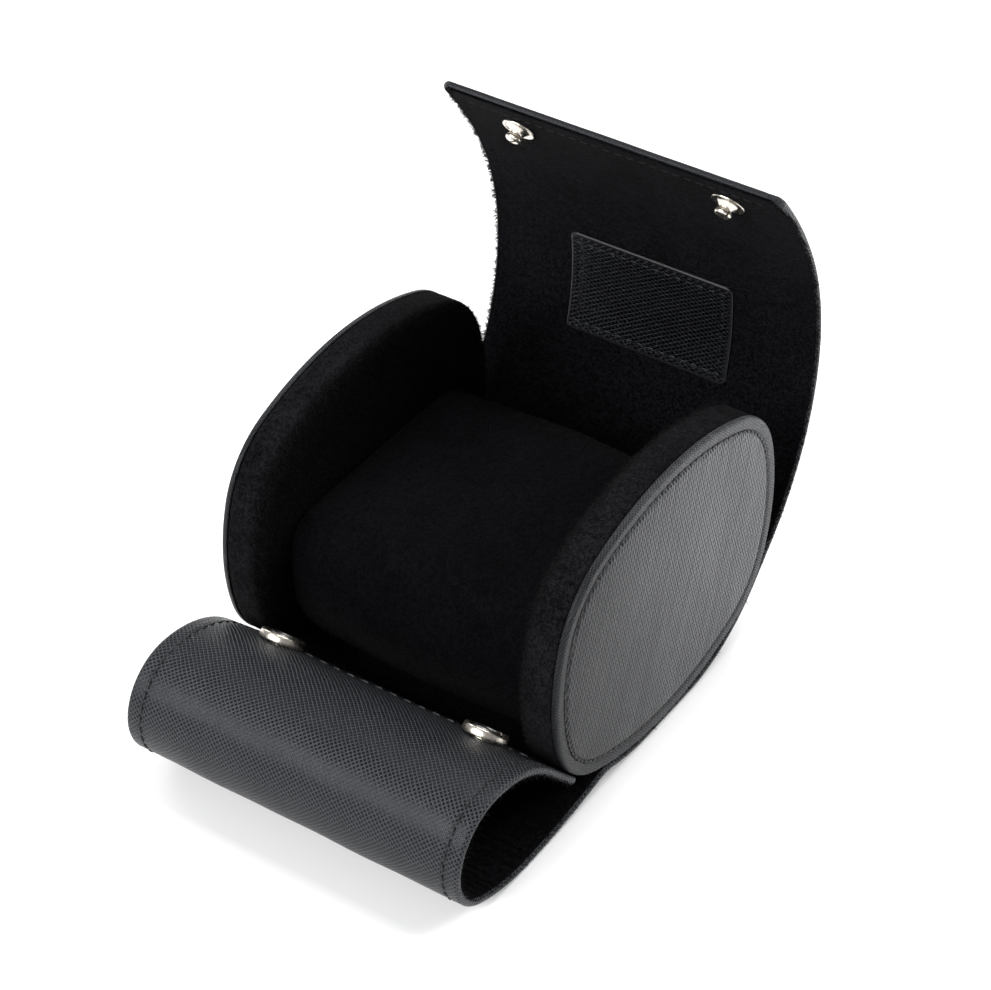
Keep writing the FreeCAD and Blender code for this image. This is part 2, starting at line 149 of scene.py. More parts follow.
# Mesh helpers
def newPiece(name, points, faces, made, uv=None, normals=None):
    mesh = bpy.data.meshes.new(name)
    mesh.from_pydata([tuple(p) for p in points], [], [tuple(f) for f in faces])
    mesh.update()
    if uv is not None:
        layer = mesh.uv_layers.new(name="UVMap")
        loops = np.zeros(len(mesh.loops), np.int32)
        mesh.loops.foreach_get("vertex_index", loops)
        layer.data.foreach_set("uv", np.asarray(uv, np.float32)[loops].ravel())
    mesh.polygons.foreach_set("use_smooth", [True] * len(mesh.polygons))
    if normals is not None:
        mesh.normals_split_custom_set_from_vertices([tuple(n) for n in normals])
    if made:
        mesh.materials.append(made)
    piece = bpy.data.objects.new(name, mesh)
    scene.collection.objects.link(piece)
    return piece


def gridFaces(rows, columns, start=0):
    row = start + columns * np.arange(rows - 1)[:, None]
    column = np.arange(columns)[None, :]
    following = (column + 1) % columns
    corners = [row + column, row + following, row + columns + following, row + columns + column]
    return list(np.stack(corners, -1).reshape(-1, 4))


def endRing(row, columns):
    return tuple(row * columns + c for c in range(columns))


def ringNormals(grid):
    across = np.roll(grid, -1, axis=1) - np.roll(grid, 1, axis=1)
    normal = np.cross(across, np.gradient(grid, axis=0))
    return normal / np.maximum(np.linalg.norm(normal, axis=2, keepdims=True), 1e-12)


def evaluated(piece):
    bpy.context.view_layer.update()
    graph = bpy.context.evaluated_depsgraph_get()
    mesh = bpy.data.meshes.new_from_object(piece.evaluated_get(graph))
    piece.modifiers.clear()
    old = piece.data
    piece.data = mesh
    bpy.data.meshes.remove(old)
    return piece


# Node helpers, for shaders and for geometry
def group(name, inputs, outputs, kind="ShaderNodeTree"):
    tree = bpy.data.node_groups.new(name, kind)
    for label, sort, value in inputs:
        socket = tree.interface.new_socket(label, in_out="INPUT", socket_type="NodeSocket" + sort)
        if value is not None:
            socket.default_value = value
    for label, sort in outputs:
        tree.interface.new_socket(label, in_out="OUTPUT", socket_type="NodeSocket" + sort)
    return tree, tree.nodes.new("NodeGroupInput").outputs, tree.nodes.new("NodeGroupOutput").inputs


def feed(tree, socket, value):
    if isinstance(value, bpy.types.NodeSocket):
        tree.links.new(value, socket)
    else:
        socket.default_value = value


def treeNode(tree, kind, plugs=None, **settings):
    node = tree.nodes.new(kind)
    for key, value in settings.items():
        setattr(node, key, value)
    for key, value in (plugs or {}).items():
        feed(tree, node.inputs[key], value)
    return node


def mathNode(tree, operation, *values):
    return treeNode(tree, "ShaderNodeMath", dict(enumerate(values)), operation=operation).outputs[0]


def mixColour(tree, share, first, second):
    return treeNode(tree, "ShaderNodeMix", {0: share, 6: first, 7: second}, data_type="RGBA").outputs[2]


def noiseNode(tree, vector, scale, detail=2.0, distortion=0.0):
    return treeNode(tree, "ShaderNodeTexNoise", {
        "Vector": vector, "Scale": scale, "Detail": detail, "Distortion": distortion}).outputs["Fac"]


def remap(tree, value, low, high, toLow=0.0, toHigh=1.0):
    return treeNode(tree, "ShaderNodeMapRange", dict(enumerate((value, low, high, toLow, toHigh)))).outputs[0]


noiseMiddle = (0.3, 0.7)  # where most of a noise lies
roughShare = 0.2  # how far an uneven tone also turns rougher


def uvVector(tree):
    return treeNode(tree, "ShaderNodeUVMap", uv_map="UVMap").outputs["UV"]


def objectVector(tree, scale):
    source = treeNode(tree, "ShaderNodeTexCoord").outputs["Object"]
    return treeNode(tree, "ShaderNodeMapping", {"Vector": source, "Scale": (scale,) * 3}).outputs["Vector"]


def parts(tree, vector):
    return treeNode(tree, "ShaderNodeSeparateXYZ", {0: vector}).outputs


# Cross-hatched leather: two families of fine ridges at 45 degrees, each ridge slightly uneven
hatchShape = {"wanderScale": 0.35, "wanderReach": 4.0, "crossLift": 0.35, "ridge": (-0.1, 0.95),
              "unevenScale": 1.3, "uneven": (0.25, 0.75, 0.65, 1.0), "patch": (0.06, 3.0)}
hatch, hatchIn, hatchOut = group("crossHatch", [
    ("Vector", "Vector", None), ("Pitch", "Float", 0.9), ("Wander", "Float", 0.35), ("Rising", "Float", 1.0)],
    [("Height", "Float"), ("Ridge", "Float"), ("Patch", "Float")])
acrossUp = parts(hatch, hatchIn["Vector"])
wander = noiseNode(hatch, hatchIn["Vector"], hatchShape["wanderScale"])
wander = mathNode(hatch, "MULTIPLY", mathNode(hatch, "SUBTRACT", wander, 0.5), hatchIn["Wander"])
wander = mathNode(hatch, "MULTIPLY", wander, hatchShape["wanderReach"])
uneven = noiseNode(hatch, hatchIn["Vector"], hatchShape["unevenScale"])
ridges = []
for sign in (1.0, -1.0):
    along = mathNode(hatch, "ADD", mathNode(hatch, "MULTIPLY_ADD", acrossUp[1], sign, acrossUp[0]), wander)
    turn = mathNode(hatch, "DIVIDE", along, hatchIn["Pitch"])
    wave = mathNode(hatch, "COSINE", mathNode(hatch, "MULTIPLY", turn, 2 * math.pi / math.sqrt(2)))
    ridges.append(remap(hatch, wave, *hatchShape["ridge"]))
ridges[0] = mathNode(hatch, "MULTIPLY", ridges[0], hatchIn["Rising"])
tall = mathNode(hatch, "MAXIMUM", *ridges)
height = mathNode(hatch, "MULTIPLY_ADD", mathNode(hatch, "MULTIPLY", *ridges), hatchShape["crossLift"], tall)
height = mathNode(hatch, "MULTIPLY", height, remap(hatch, uneven, *hatchShape["uneven"]))
feed(hatch, hatchOut["Height"], height)
feed(hatch, hatchOut["Ridge"], tall)
feed(hatch, hatchOut["Patch"], noiseNode(hatch, hatchIn["Vector"], *hatchShape["patch"]))

# Suede nap: brushed patches, finer clumps, single fibres and grain, each with a noise scale, detail and distortion
napShape = {"brushed": (0.08, 3.0, 0.8), "clumps": (0.55, 4.0, 0.5), "fibres": (2.2, 3.0, 0.3),
            "grain": (1.5, 1.0, 1.2), "wide": (0.32, 0.68), "narrow": (0.35, 0.65), "shares": (0.35, 0.3, 0.35),
            "grainRange": (0.36, 0.64, -0.62, 0.62), "least": 0.02, "lifts": (0.7, 0.6)}
nap, napIn, napOut = group("suedeNap", [("Vector", "Vector", None), ("Grain", "Float", 1.0)],
                           [("Tone", "Float"), ("Height", "Float")])
brushed, clumps, fibres, grain = (noiseNode(nap, napIn["Vector"], *napShape[key])
                                  for key in ("brushed", "clumps", "fibres", "grain"))
brushedShare, clumpShare, fibreShare = napShape["shares"]
tone = mathNode(nap, "MULTIPLY_ADD", remap(nap, brushed, *napShape["wide"]), brushedShare,
                mathNode(nap, "MULTIPLY", remap(nap, clumps, *napShape["wide"]), clumpShare))
tone = mathNode(nap, "MULTIPLY_ADD", remap(nap, fibres, *napShape["narrow"]), fibreShare, tone)
grain = mathNode(nap, "MULTIPLY_ADD", remap(nap, grain, *napShape["grainRange"]), napIn["Grain"], 1.0)
tone = mathNode(nap, "MULTIPLY", tone, mathNode(nap, "MAXIMUM", grain, napShape["least"]))
clumpLift, fibreLift = napShape["lifts"]
feed(nap, napOut["Tone"], tone)
feed(nap, napOut["Height"], mathNode(nap, "MULTIPLY_ADD", clumps, clumpLift,
                                     mathNode(nap, "MULTIPLY", fibres, fibreLift)))


def material(name, base, roughness, metallic=0.0, sheen=0.0, sheenRoughness=0.5, specular=0.5):
    made = bpy.data.materials.new(name)
    made.use_nodes = True
    shader = made.node_tree.nodes["Principled BSDF"]
    for key, value in {"Base Color": (*base, 1), "Roughness": roughness, "Metallic": metallic, "Sheen Weight": sheen,
                       "Sheen Roughness": sheenRoughness, "Specular IOR Level": specular}.items():
        shader.inputs[key].default_value = value
    return made, made.node_tree, shader


def slanted(tree, lean, stretch):
    return treeNode(tree, "ShaderNodeMapping", {
        "Vector": uvVector(tree), "Rotation": (0, 0, math.radians(-lean)), "Scale": (1.0, stretch, 1.0)},
        vector_type="TEXTURE").outputs["Vector"]


def bump(tree, shader, height, strength, distance):
    node = treeNode(tree, "ShaderNodeBump", {"Strength": strength, "Distance": distance, "Height": height})
    feed(tree, shader.inputs["Normal"], node.outputs["Normal"])


# Streaks on the caps' faces: stretch, noise scale and range of the fine and the broad ones
streakShape = {"fine": (40.0, 0.75, 0.4, 0.6), "broad": (6.0, 0.06, 0.38, 0.62), "broadShare": 0.4}


def streaksOf(tree, lean, shape, share):
    stretch, scale, low, high = shape
    return remap(tree, noiseNode(tree, slanted(tree, lean, stretch), scale), low, high, 1 - share, 1.0)


def leatherMaterial(name, look):
    made, tree, shader = material(name, look["pit"], look["roughness"], specular=look["specular"])
    lay = treeNode(tree, "ShaderNodeMapping", {"Vector": uvVector(tree), "Scale": (*look["flatten"], 1.0)})
    node = treeNode(tree, "ShaderNodeGroup", {
        "Vector": lay.outputs["Vector"], "Pitch": look["pitch"], "Wander": look["wander"], "Rising": look["rising"]},
        node_tree=hatch)
    share, height = node.outputs["Ridge"], node.outputs["Height"]
    if look["streak"]:
        fine = streaksOf(tree, look["fineLean"], streakShape["fine"], look["streak"])
        broad = streaksOf(tree, look["broadLean"], streakShape["broad"], streakShape["broadShare"] * look["streak"])
        share = mathNode(tree, "MULTIPLY", share, mathNode(tree, "MULTIPLY", fine, broad))
        height = mathNode(tree, "MULTIPLY", height, fine)
    # Painted light and shade: the ridge tone is ramped along the face's first UV axis, darker towards the front and
    # lighter towards the back
    if look["paintedLightRamp"]:
        share = mathNode(tree, "MULTIPLY", share, remap(tree, parts(tree, uvVector(tree))[0], *look["paintedLightRamp"]))
    colour = mixColour(tree, share, (*look["pit"], 1), (*look["ridge"], 1))
    feed(tree, shader.inputs["Base Color"], colour)
    shader.inputs["Specular Tint"].default_value = look["shine"]
    low, high = look["roughness"] - look["patchy"], look["roughness"] + look["patchy"]
    feed(tree, shader.inputs["Roughness"], remap(tree, node.outputs["Patch"], *noiseMiddle, low, high))
    bump(tree, shader, height, look["bump"], look["relief"] * mm)
    return made


def suedeMaterial(name, look):
    made, tree, shader = material(name, look["dark"], look["roughness"], sheen=look["sheen"],
                                  sheenRoughness=look["sheenRoughness"], specular=look["specular"])
    shader.inputs["Sheen Tint"].default_value = (*look["tint"], 1)
    vector = uvVector(tree) if look["uv"] else objectVector(tree, 1 / mm)
    node = treeNode(tree, "ShaderNodeGroup", {"Grain": look["grain"], "Vector": vector}, node_tree=nap)
    tone = node.outputs["Tone"]
    # Painted shade: nearer the middle than the turn range, as on the pads' inner faces towards the cushion, the tone is
    # darkened
    if look["turn"]:
        paintedShadeAcross = mathNode(tree, "ABSOLUTE", parts(tree, objectVector(tree, 1 / mm))[0])
        tone = mathNode(tree, "MULTIPLY", tone, remap(tree, paintedShadeAcross, *look["turn"]))
    feed(tree, shader.inputs["Base Color"], mixColour(tree, tone, (*look["dark"], 1), (*look["light"], 1)))
    bump(tree, shader, node.outputs["Height"], look["bump"], look["relief"] * mm)
    return made


# Thread, fibres and metal: one tone, uneven by a share on a fine noise
def unevenMaterial(name, base, roughness, vary, grain, **others):
    made, tree, shader = material(name, base, roughness, **others)
    spots = remap(tree, noiseNode(tree, objectVector(tree, 1 / mm), grain), *noiseMiddle)
    low, high = ((*(tone * part for tone in base), 1) for part in (1 - vary, 1 + vary))
    feed(tree, shader.inputs["Base Color"], mixColour(tree, spots, low, high))
    low, high = roughness - roughShare * vary, roughness + roughShare * vary
    feed(tree, shader.inputs["Roughness"], remap(tree, spots, 0.0, 1.0, low, high))
    return made


leatherLook = {"pit": (0.0008, 0.0009, 0.0012), "ridge": (0.044, 0.0458, 0.052), "roughness": 0.32, "patchy": 0.05,
               "specular": 0.22, "shine": (0.9, 0.94, 1.0, 1), "pitch": 0.88, "wander": 0.14, "bump": 1.0,
               "relief": 0.46, "streak": 0.0, "fineLean": 15.0, "broadLean": 35.0, "paintedLightRamp": None,
               "flatten": (1.0, 1.0), "rising": 1.0}
# The cap faces' ridge tone is ramped from front to back: painted light and shade
faceLook = dict(leatherLook, pitch=1.02, relief=0.5, streak=0.4, paintedLightRamp=(-34.0, 14.0, 0.25, 1.08), rising=0.55,
                # The face's ridge tone is lighter than the wrap's leather, in part a painted reflection of the bright
                # floor
                flatten=(1.34, 0.46), specular=0.17, pit=(0.002, 0.0021, 0.0025), ridge=(0.19, 0.1955, 0.2065))
# The bead's lighter ridge tone is in part a painted reflection of the floor as well
beadLook = dict(faceLook, pitch=0.62, relief=0.22, rising=0.9, flatten=(1.0, 1.0), ridge=(0.09, 0.0925, 0.099))
labelLook = dict(leatherLook, roughness=0.3, relief=0.5, pitch=1.03, specular=0.24, pit=(0.0003, 0.0003, 0.0004),
                 ridge=(0.0072, 0.0074, 0.0086), flatten=(0.73, 1.21))
suedeLook = {"dark": (0.0004, 0.0004, 0.0006), "light": (0.0072, 0.007, 0.0082), "roughness": 0.95, "specular": 0.03,
             "sheen": 0.012, "sheenRoughness": 0.45, "tint": (0.6, 0.6, 0.62), "bump": 0.8, "relief": 0.9,
             "uv": False, "turn": None, "grain": 1.2}
leather = leatherMaterial("leather", leatherLook)
faceLeather = leatherMaterial("faceLeather", faceLook)
beadLeather = leatherMaterial("beadLeather", beadLook)
labelLeather = leatherMaterial("labelLeather", labelLook)
suede = suedeMaterial("suede", dict(suedeLook, light=(0.0029, 0.0027, 0.0037)))
suedeStrip = suedeMaterial("suedeStrip", dict(suedeLook, uv=True, grain=1.9, light=(0.0052, 0.005, 0.0062)))
# The pads' inner faces towards the cushion are painted darker than their rims: painted shade
padSuede = suedeMaterial("padSuede", dict(suedeLook, light=(0.0092, 0.0089, 0.0102), bump=1.0,
                                         turn=(35.0, 37.8, 0.45, 1.0)))
threadLook = {"roughness": 0.45, "vary": 0.3, "grain": 2.5, "specular": 0.35}
fibreLook = {"roughness": 0.9, "vary": 0.3, "grain": 1.2, "specular": 0.05}
metalLook = {"roughness": 0.28, "vary": 0.12, "grain": 1.4, "metallic": 1.0}
borderLook = {"roughness": 0.36, "vary": 0.25, "grain": 1.6, "specular": 0.3}
thread = unevenMaterial("thread", (0.006, 0.006, 0.0068), **threadLook)
liningThread = unevenMaterial("liningThread", (0.0095, 0.0095, 0.0102), **dict(threadLook, roughness=0.6, specular=0.1))
# Thread of the row by the sockets, ten times lighter than the other black thread: a painted highlight on its stitches
glintPaintedThread = unevenMaterial("glintPaintedThread", (0.06, 0.06, 0.062), **dict(threadLook, roughness=0.4, specular=0.5))
fuzzFibre = unevenMaterial("fuzzFibre", (0.006, 0.006, 0.0065), **fibreLook)
napFibre = unevenMaterial("napFibre", (0.0125, 0.0122, 0.0134), **fibreLook)
labelBorder = unevenMaterial("labelBorder", (0.007, 0.0072, 0.0085), **borderLook)
nickel = unevenMaterial("nickel", (0.66, 0.615, 0.55), **metalLook)
darkSteel = unevenMaterial("darkSteel", (0.35, 0.34, 0.33), **dict(metalLook, roughness=0.35))
print("materials made")


# The wrap: leather outside with its edges turned over, suede lining inside
wrapBody = {
    "halfWidth": 44.5, "wall": 2.0, "edge": 1.0, "leastEdge": 0.05, "corner": 2.6, "hem": 0.6, "roundSteps": 8,
    "gap": 0.02, "underLap": 0.1, "underIn": 0.4, "lipIn": 0.05, "lipDrop": 0.35, "leatherFade": 3.0,
    "leatherColumns": 33, "leatherSteps": (-0.9, -0.5, -0.2, 0, 0.2, 0.5, 0.9), "leatherRows": 1.1,
    "liningFrom": 1.35, "liningProud": 0.05, "liningEdge": 0.35, "liningThin": 0.34, "liningBevel": 0.1,
    "liningFade": 2.0, "liningColumns": 45, "liningSteps": (-0.5, 0, 0.5), "liningRows": 0.55, "liningGroove": 0.8,
    "stitchInset": 4.0, "grooveDeep": 0.16, "grooveWide": 0.55, "topSeam": 5.5, "frontSeam": 4.0, "snapSeam": 15.8,
    "ribPitch": 2.6, "ribDeep": 0.32, "ribFrom": -86.0, "ribTo": -24.0, "ribFade": 6.0,
    "ribWander": (0.25, 0.09, 0.35),
}
swayWaves = [(0.07, 0.17, 0.09, 0.6), (0.05, 0.31, -0.21, 0.0)]  # height, turn across, turn along, start
leatherEnds = (0.06, 0.2, 0.45, 0.8, 1.2, 1.6, 2.1, 2.7, 3.4, 3.8, 4.2, 4.8, 5.2, 5.6, 6.1)
liningEnds = (0.6, 0.66, 0.8, 1.0, 1.4, 2.0)
seamX = wrapBody["halfWidth"] - wrapBody["stitchInset"]
frontSeamAt, topSeamAt = frontEnd + wrapBody["frontSeam"], backEnd - wrapBody["topSeam"]


def rowMarks(spacing, fine):
    marks = set(wrapCuts)
    for first, last in zip(wrapCuts[:-1], wrapCuts[1:]):
        count = max(2, round((last - first) / spacing))
        marks.update(first + (last - first) * k / count for k in range(count + 1))
    for end, way in ((frontEnd, 1), (backEnd, -1)):
        marks.update(end + way * step for step in fine)
    ordered = sorted(marks)
    kept = [ordered[0]]
    for mark in ordered[1:]:
        if mark - kept[-1] > 1e-4:
            kept.append(mark)
    return kept


def fromEnd(u):
    return min(u - frontEnd, backEnd - u)


def quarterRound(distance, radius):
    if distance >= radius:
        return 0.0
    return radius - math.sqrt(max(0.0, radius ** 2 - (radius - distance) ** 2))


def hollow(distance, deep, wide):
    return deep * math.exp(-(distance / wide) ** 2)


def seamHollow(u, x):
    distances = (abs(x) - seamX, u - frontEnd - wrapBody["frontSeam"], backEnd - u - wrapBody["topSeam"])
    return max(hollow(distance, 1.0, wrapBody["grooveWide"]) for distance in distances) * wrapBody["grooveDeep"]


def sway(u, x):
    return sum(height * math.sin(across * x + along * u + start) for height, across, along, start in swayWaves)


def columnMarks(half, count, seam, steps):
    even = {round(v, 4) for v in np.linspace(-1, 1, count) * half}
    return sorted(even | {round(sign * (seam + step), 4) for sign in (-1, 1) for step in steps})


def leatherProfile(u):
    w = wrapBody
    end = fromEnd(u)
    thin = min(quarterRound(end, w["edge"]), w["edge"] - w["leastEdge"])
    half = w["halfWidth"] - quarterRound(end, w["corner"])
    low, high = thin, w["wall"] - thin
    radius, middle = (high - low) / 2, (low + high) / 2
    flat, inner = half - radius, half - w["hem"]
    under = min(w["liningFrom"] + w["underLap"], high - w["gap"])
    lip = min(high - w["gap"], w["wall"] - w["lipDrop"])
    turns = [math.pi * k / w["roundSteps"] for k in range(1, w["roundSteps"])]
    points = [(-t * (inner - w["underIn"]), under) for t in (-1.0, -0.5, 0.0, 0.5, 1.0)]
    points += [(-inner + w["lipIn"], lip), (-inner, high)]
    points += [(-flat - radius * math.sin(a), middle + radius * math.cos(a)) for a in turns]
    fade = min(1.0, end / w["leatherFade"])
    for x in columnMarks(flat, w["leatherColumns"], seamX, w["leatherSteps"]):
        points.append((x, low + (seamHollow(u, x) + sway(u, x) * (1 - (x / half) ** 4)) * fade))
    points += [(flat + radius * math.sin(a), middle - radius * math.cos(a)) for a in turns]
    return points + [(inner, high), (inner - w["lipIn"], lip)]


def liningProfile(u):
    w = wrapBody
    end = max(fromEnd(u) - w["hem"], 0.0)
    half = w["halfWidth"] - w["hem"] - quarterRound(max(0.0, fromEnd(u)), w["corner"])
    floor, bevel = w["liningFrom"], w["liningBevel"]
    top = w["wall"] + w["liningProud"] - min(quarterRound(end, w["liningEdge"]), w["liningThin"])
    side = [(half, floor + bevel), (half, top - w["liningEdge"]), (half - bevel, top - bevel)]
    points = [(t * (half - bevel), floor) for t in np.linspace(-1, 1, 5)] + side
    rib = 0.0
    if w["ribFrom"] < u < w["ribTo"]:
        rib = min(1.0, (u - w["ribFrom"]) / w["ribFade"], (w["ribTo"] - u) / w["ribFade"]) * w["ribDeep"]
    reach, across, along = w["ribWander"]
    fade = min(1.0, end / w["liningFade"])
    seam = half - (w["stitchInset"] - w["hem"])
    for x in reversed(columnMarks(half - w["liningEdge"], w["liningColumns"], seam, w["liningSteps"])):
        turn = u / w["ribPitch"] + reach * math.sin(across * x + along * u)
        wave = rib * (0.5 + 0.5 * math.cos(2 * math.pi * turn))
        points.append((x, top - wave - w["liningGroove"] * seamHollow(u, x) * fade))
    return points + [(-x, depth) for x, depth in reversed(side)]


def sweep(marks, profile):
    grid, uv = [], []
    for u in marks:
        outline = profile(u)
        grid.append([onWrap(u, x, depth) * mm for x, depth in outline])
        steps = [0.0]
        for a, b in zip(outline[:-1], outline[1:]):
            steps.append(steps[-1] + math.hypot(b[0] - a[0], b[1] - a[1]))
        uv.append([(s, u) for s in steps])
    return np.array(grid), np.array(uv)


def wrapPieces(kind, marks, profile, made):
    grid, uv = sweep(marks, profile)
    normals = ringNormals(grid)
    columns = grid.shape[1]
    rows = [min(range(len(marks)), key=lambda k: abs(marks[k] - cut)) for cut in wrapCuts]
    pieces = []
    for name, first, last in zip(wrapNames, rows[:-1], rows[1:]):
        block = slice(first, last + 1)
        count = last + 1 - first
        faces = gridFaces(count, columns)
        if name == wrapNames[0]:
            faces.append(endRing(0, columns))
        if name == wrapNames[-1]:
            faces.append(endRing(count - 1, columns)[::-1])
        piece = newPiece(kind + name.capitalize(), grid[block].reshape(-1, 3), faces, made,
                         uv[block].reshape(-1, 2), normals[block].reshape(-1, 3))
        pieces.append(piece)
    return pieces


leatherMarks = rowMarks(wrapBody["leatherRows"], leatherEnds)
leatherPieces = wrapPieces("leather", leatherMarks, leatherProfile, leather)
liningMarks = [u for u in rowMarks(wrapBody["liningRows"], liningEnds) if fromEnd(u) >= wrapBody["hem"] - 1e-6]
liningPieces = wrapPieces("lining", liningMarks, liningProfile, suedeStrip)
replacedBy = [
    ("front_tip",), ("front_crest",), ("front_nose",), ("front_bend",), ("front_floor",), ("front_heel",),
    ("base",), ("back_lower", "back_middle"), ("back_upper",)]
for index, stems in enumerate(replacedBy):
    for stem in stems:
        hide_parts(stem + "_cover")
        if stem + "_board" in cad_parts:
            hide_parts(stem + "_board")
        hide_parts(stem + "_lining")
for index in range(len(wrapNames)):
    followBend(leatherPieces[index])
    followBend(liningPieces[index])
print("wrap made", len(leatherMarks), len(liningMarks))


# End caps: an oval of eight arcs, with the insets and depths of the rows that run round it
capShape = {"halfLength": 46.0, "halfHeight": 36.1, "top": 80.0, "side": 52.0, "corner": 24.0, "middle": 38.3,
            "outer": 45.0, "inner": 35.0, "round": 2.2, "roundSteps": 8, "seam": 43.45, "stitch": 3.4, "bead": 0.75,
            "beadSteps": 6, "beadEdge": 1.2, "beadSlope": 0.04, "pillow": 0.55, "pillowRun": 6.0, "dip": 0.42,
            "dipWide": 0.5, "evenInset": 11.0, "spacing": 1.0}
faceBack = [(30.0, 0.25), (12.0, 0.2), (2.0, 0.15), (0.6, 0.1), (0.12, 0.02), (0.0, 0.2), (-0.03, 0.55)]
faceInsets = (1.2, 1.7, 2.2, 2.6, 2.9, 3.15, 3.4, 3.65, 3.95, 4.3, 4.8, 5.5, 6.5, 8.0, 10.0, 13.0, 17.0, 21.0, 25.0,
              29.0, 32.0, 34.5)
padBack = [(30.0, 0.1), (12.0, 0.1), (2.0, 0.1), (0.7, 0.12), (0.25, 0.3), (0.1, 0.75), (0.03, 1.5), (0.0, 2.6),
           (0.0, 3.7), (0.0, 4.6)]
padInsets = (4.0, 6.0, 8.5, 11.0, 14.0, 18.0, 22.0, 26.0, 30.0, 33.5)


def ovalArcs():
    c = capShape
    topCentre = (0.0, c["halfHeight"] - c["top"])
    sideCentre = (c["halfLength"] - c["side"], 0.0)
    across = (sideCentre[0] - topCentre[0], sideCentre[1] - topCentre[1])
    apart = math.hypot(*across)
    reachTop, reachSide = c["top"] - c["corner"], c["side"] - c["corner"]
    along = (apart ** 2 + reachTop ** 2 - reachSide ** 2) / (2 * apart)
    out = math.sqrt(reachTop ** 2 - along ** 2)
    unit = (across[0] / apart, across[1] / apart)
    corner = (topCentre[0] + unit[0] * along + unit[1] * out, topCentre[1] + unit[1] * along - unit[0] * out)
    sideTurn = math.atan2(corner[1], corner[0] - sideCentre[0])
    topTurn = math.atan2(corner[1] - topCentre[1], corner[0])
    quarter = [(sideCentre, c["side"], 0.0, sideTurn), (corner, c["corner"], sideTurn, topTurn),
               (topCentre, c["top"], topTurn, math.pi / 2)]
    arcs = []
    for turn in range(4):
        flipY, flipZ = (-1 if turn in (1, 2) else 1), (-1 if turn in (2, 3) else 1)
        ordered = quarter if turn in (0, 2) else [(p, r, b, a) for p, r, a, b in reversed(quarter)]
        for centre, radius, first, last in ordered:
            arcs.append((centre, radius, first, last, flipY, flipZ))
    return arcs


def ovalPoints(spacing):
    points, normals, runs, run = [], [], [], 0.0
    for centre, radius, first, last, flipY, flipZ in ovalArcs():
        length = radius * abs(last - first)
        count = max(2, round(length / spacing))
        for k in range(count):
            a = first + (last - first) * k / count
            points.append(((centre[0] + radius * math.cos(a)) * flipY, (centre[1] + radius * math.sin(a)) * flipZ))
            normals.append((math.cos(a) * flipY, math.sin(a) * flipZ))
            runs.append(run + length * k / count)
        run += length
    return np.array(points), np.array(normals), np.array(runs), run


ovalAt, ovalOut, ovalRun, ovalLength = ovalPoints(capShape["spacing"])


def ovalRing(inset, x):
    even = capShape["evenInset"]
    ring = ovalAt - ovalOut * min(inset, even)
    if inset > even:
        ring = ring * max(0.0, 1 - (inset - even) / (capShape["halfHeight"] - even))
    return np.column_stack([np.full(len(ring), x), ring[:, 0], ring[:, 1] + capShape["middle"]])


def ovalMesh(name, side, profile, made):
    count = len(ovalAt)
    points = list(np.array([ovalRing(inset, side * x) for inset, x in profile]).reshape(-1, 3) * mm)
    faces = gridFaces(len(profile), count)
    for row in (0, len(profile) - 1):
        centre = len(points)
        points.append(np.array((side * profile[row][1], 0, capShape["middle"])) * mm)
        for column in range(count):
            a, b = row * count + column, row * count + (column + 1) % count
            faces.append((a, b, centre) if row else (b, a, centre))
    if side < 0:
        faces = [face[::-1] for face in faces]
    edge = capShape["beadEdge"]
    flat = [max(inset, edge) for inset, x in profile]
    for row in range(len(profile) - 2, -1, -1):
        here, after = profile[row], profile[row + 1]
        if here[0] < edge and after[0] <= edge:
            flat[row] = flat[row + 1] - math.hypot(after[0] - here[0], after[1] - here[1])
    uv = np.array([ovalRing(inset, 0.0)[:, 1:] for inset in flat]).reshape(-1, 2)
    return newPiece(name, points, faces, made, np.vstack([uv, [(0.0, capShape["middle"])] * 2]))


def faceProfile():
    c = capShape
    profile = [(inset, c["seam"] + rise) for inset, rise in faceBack]
    for k in range(1, c["beadSteps"] + 1):
        a = math.pi / 2 * k / c["beadSteps"]
        profile.append((c["bead"] * (1 - math.sin(math.pi / 2 - a)), c["outer"] - c["bead"] * (1 - math.sin(a))))
    for inset in faceInsets:
        lift = c["pillow"] * (1 - math.exp(-max(0.0, inset - c["stitch"]) / c["pillowRun"]))
        dip = hollow(inset - c["stitch"], c["dip"], c["dipWide"])
        slope = c["beadSlope"] * max(0.0, inset - c["beadEdge"]) * (inset < c["stitch"])
        profile.append((inset, c["outer"] + lift - dip - slope))
    return profile


def padProfile():
    c = capShape
    profile = [(inset, c["seam"] - drop) for inset, drop in padBack]
    for k in range(c["roundSteps"] + 1):
        a = math.pi / 2 * k / c["roundSteps"]
        profile.append((c["round"] * (1 - math.cos(a)), c["inner"] + c["round"] * (1 - math.sin(a))))
    return profile + [(inset, c["inner"]) for inset in padInsets]


bothSides = (("left", -1), ("right", 1))
capPads = {}
for sideName, side in bothSides:
    stem = sideName + "_cap_"
    profile = faceProfile()
    piece = ovalMesh(sideName + "CapFace", side, profile, faceLeather)
    piece.data.materials.append(beadLeather)
    onBead = [max(a[0], b[0]) <= capShape["stitch"] for a, b in zip(profile[:-1], profile[1:])]
    for number, polygon in enumerate(piece.data.polygons):
        row = number // len(ovalAt)
        polygon.material_index = int(row < len(onBead) and onBead[row])
    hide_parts(stem + "face")
    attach(piece, "body")
    piece = ovalMesh(sideName + "CapPad", side, padProfile()[::-1], padSuede)
    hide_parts(stem + "band", stem + "board", stem + "foam", stem + "lining")
    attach(piece, "body")
    capPads[sideName] = piece
print("caps made")


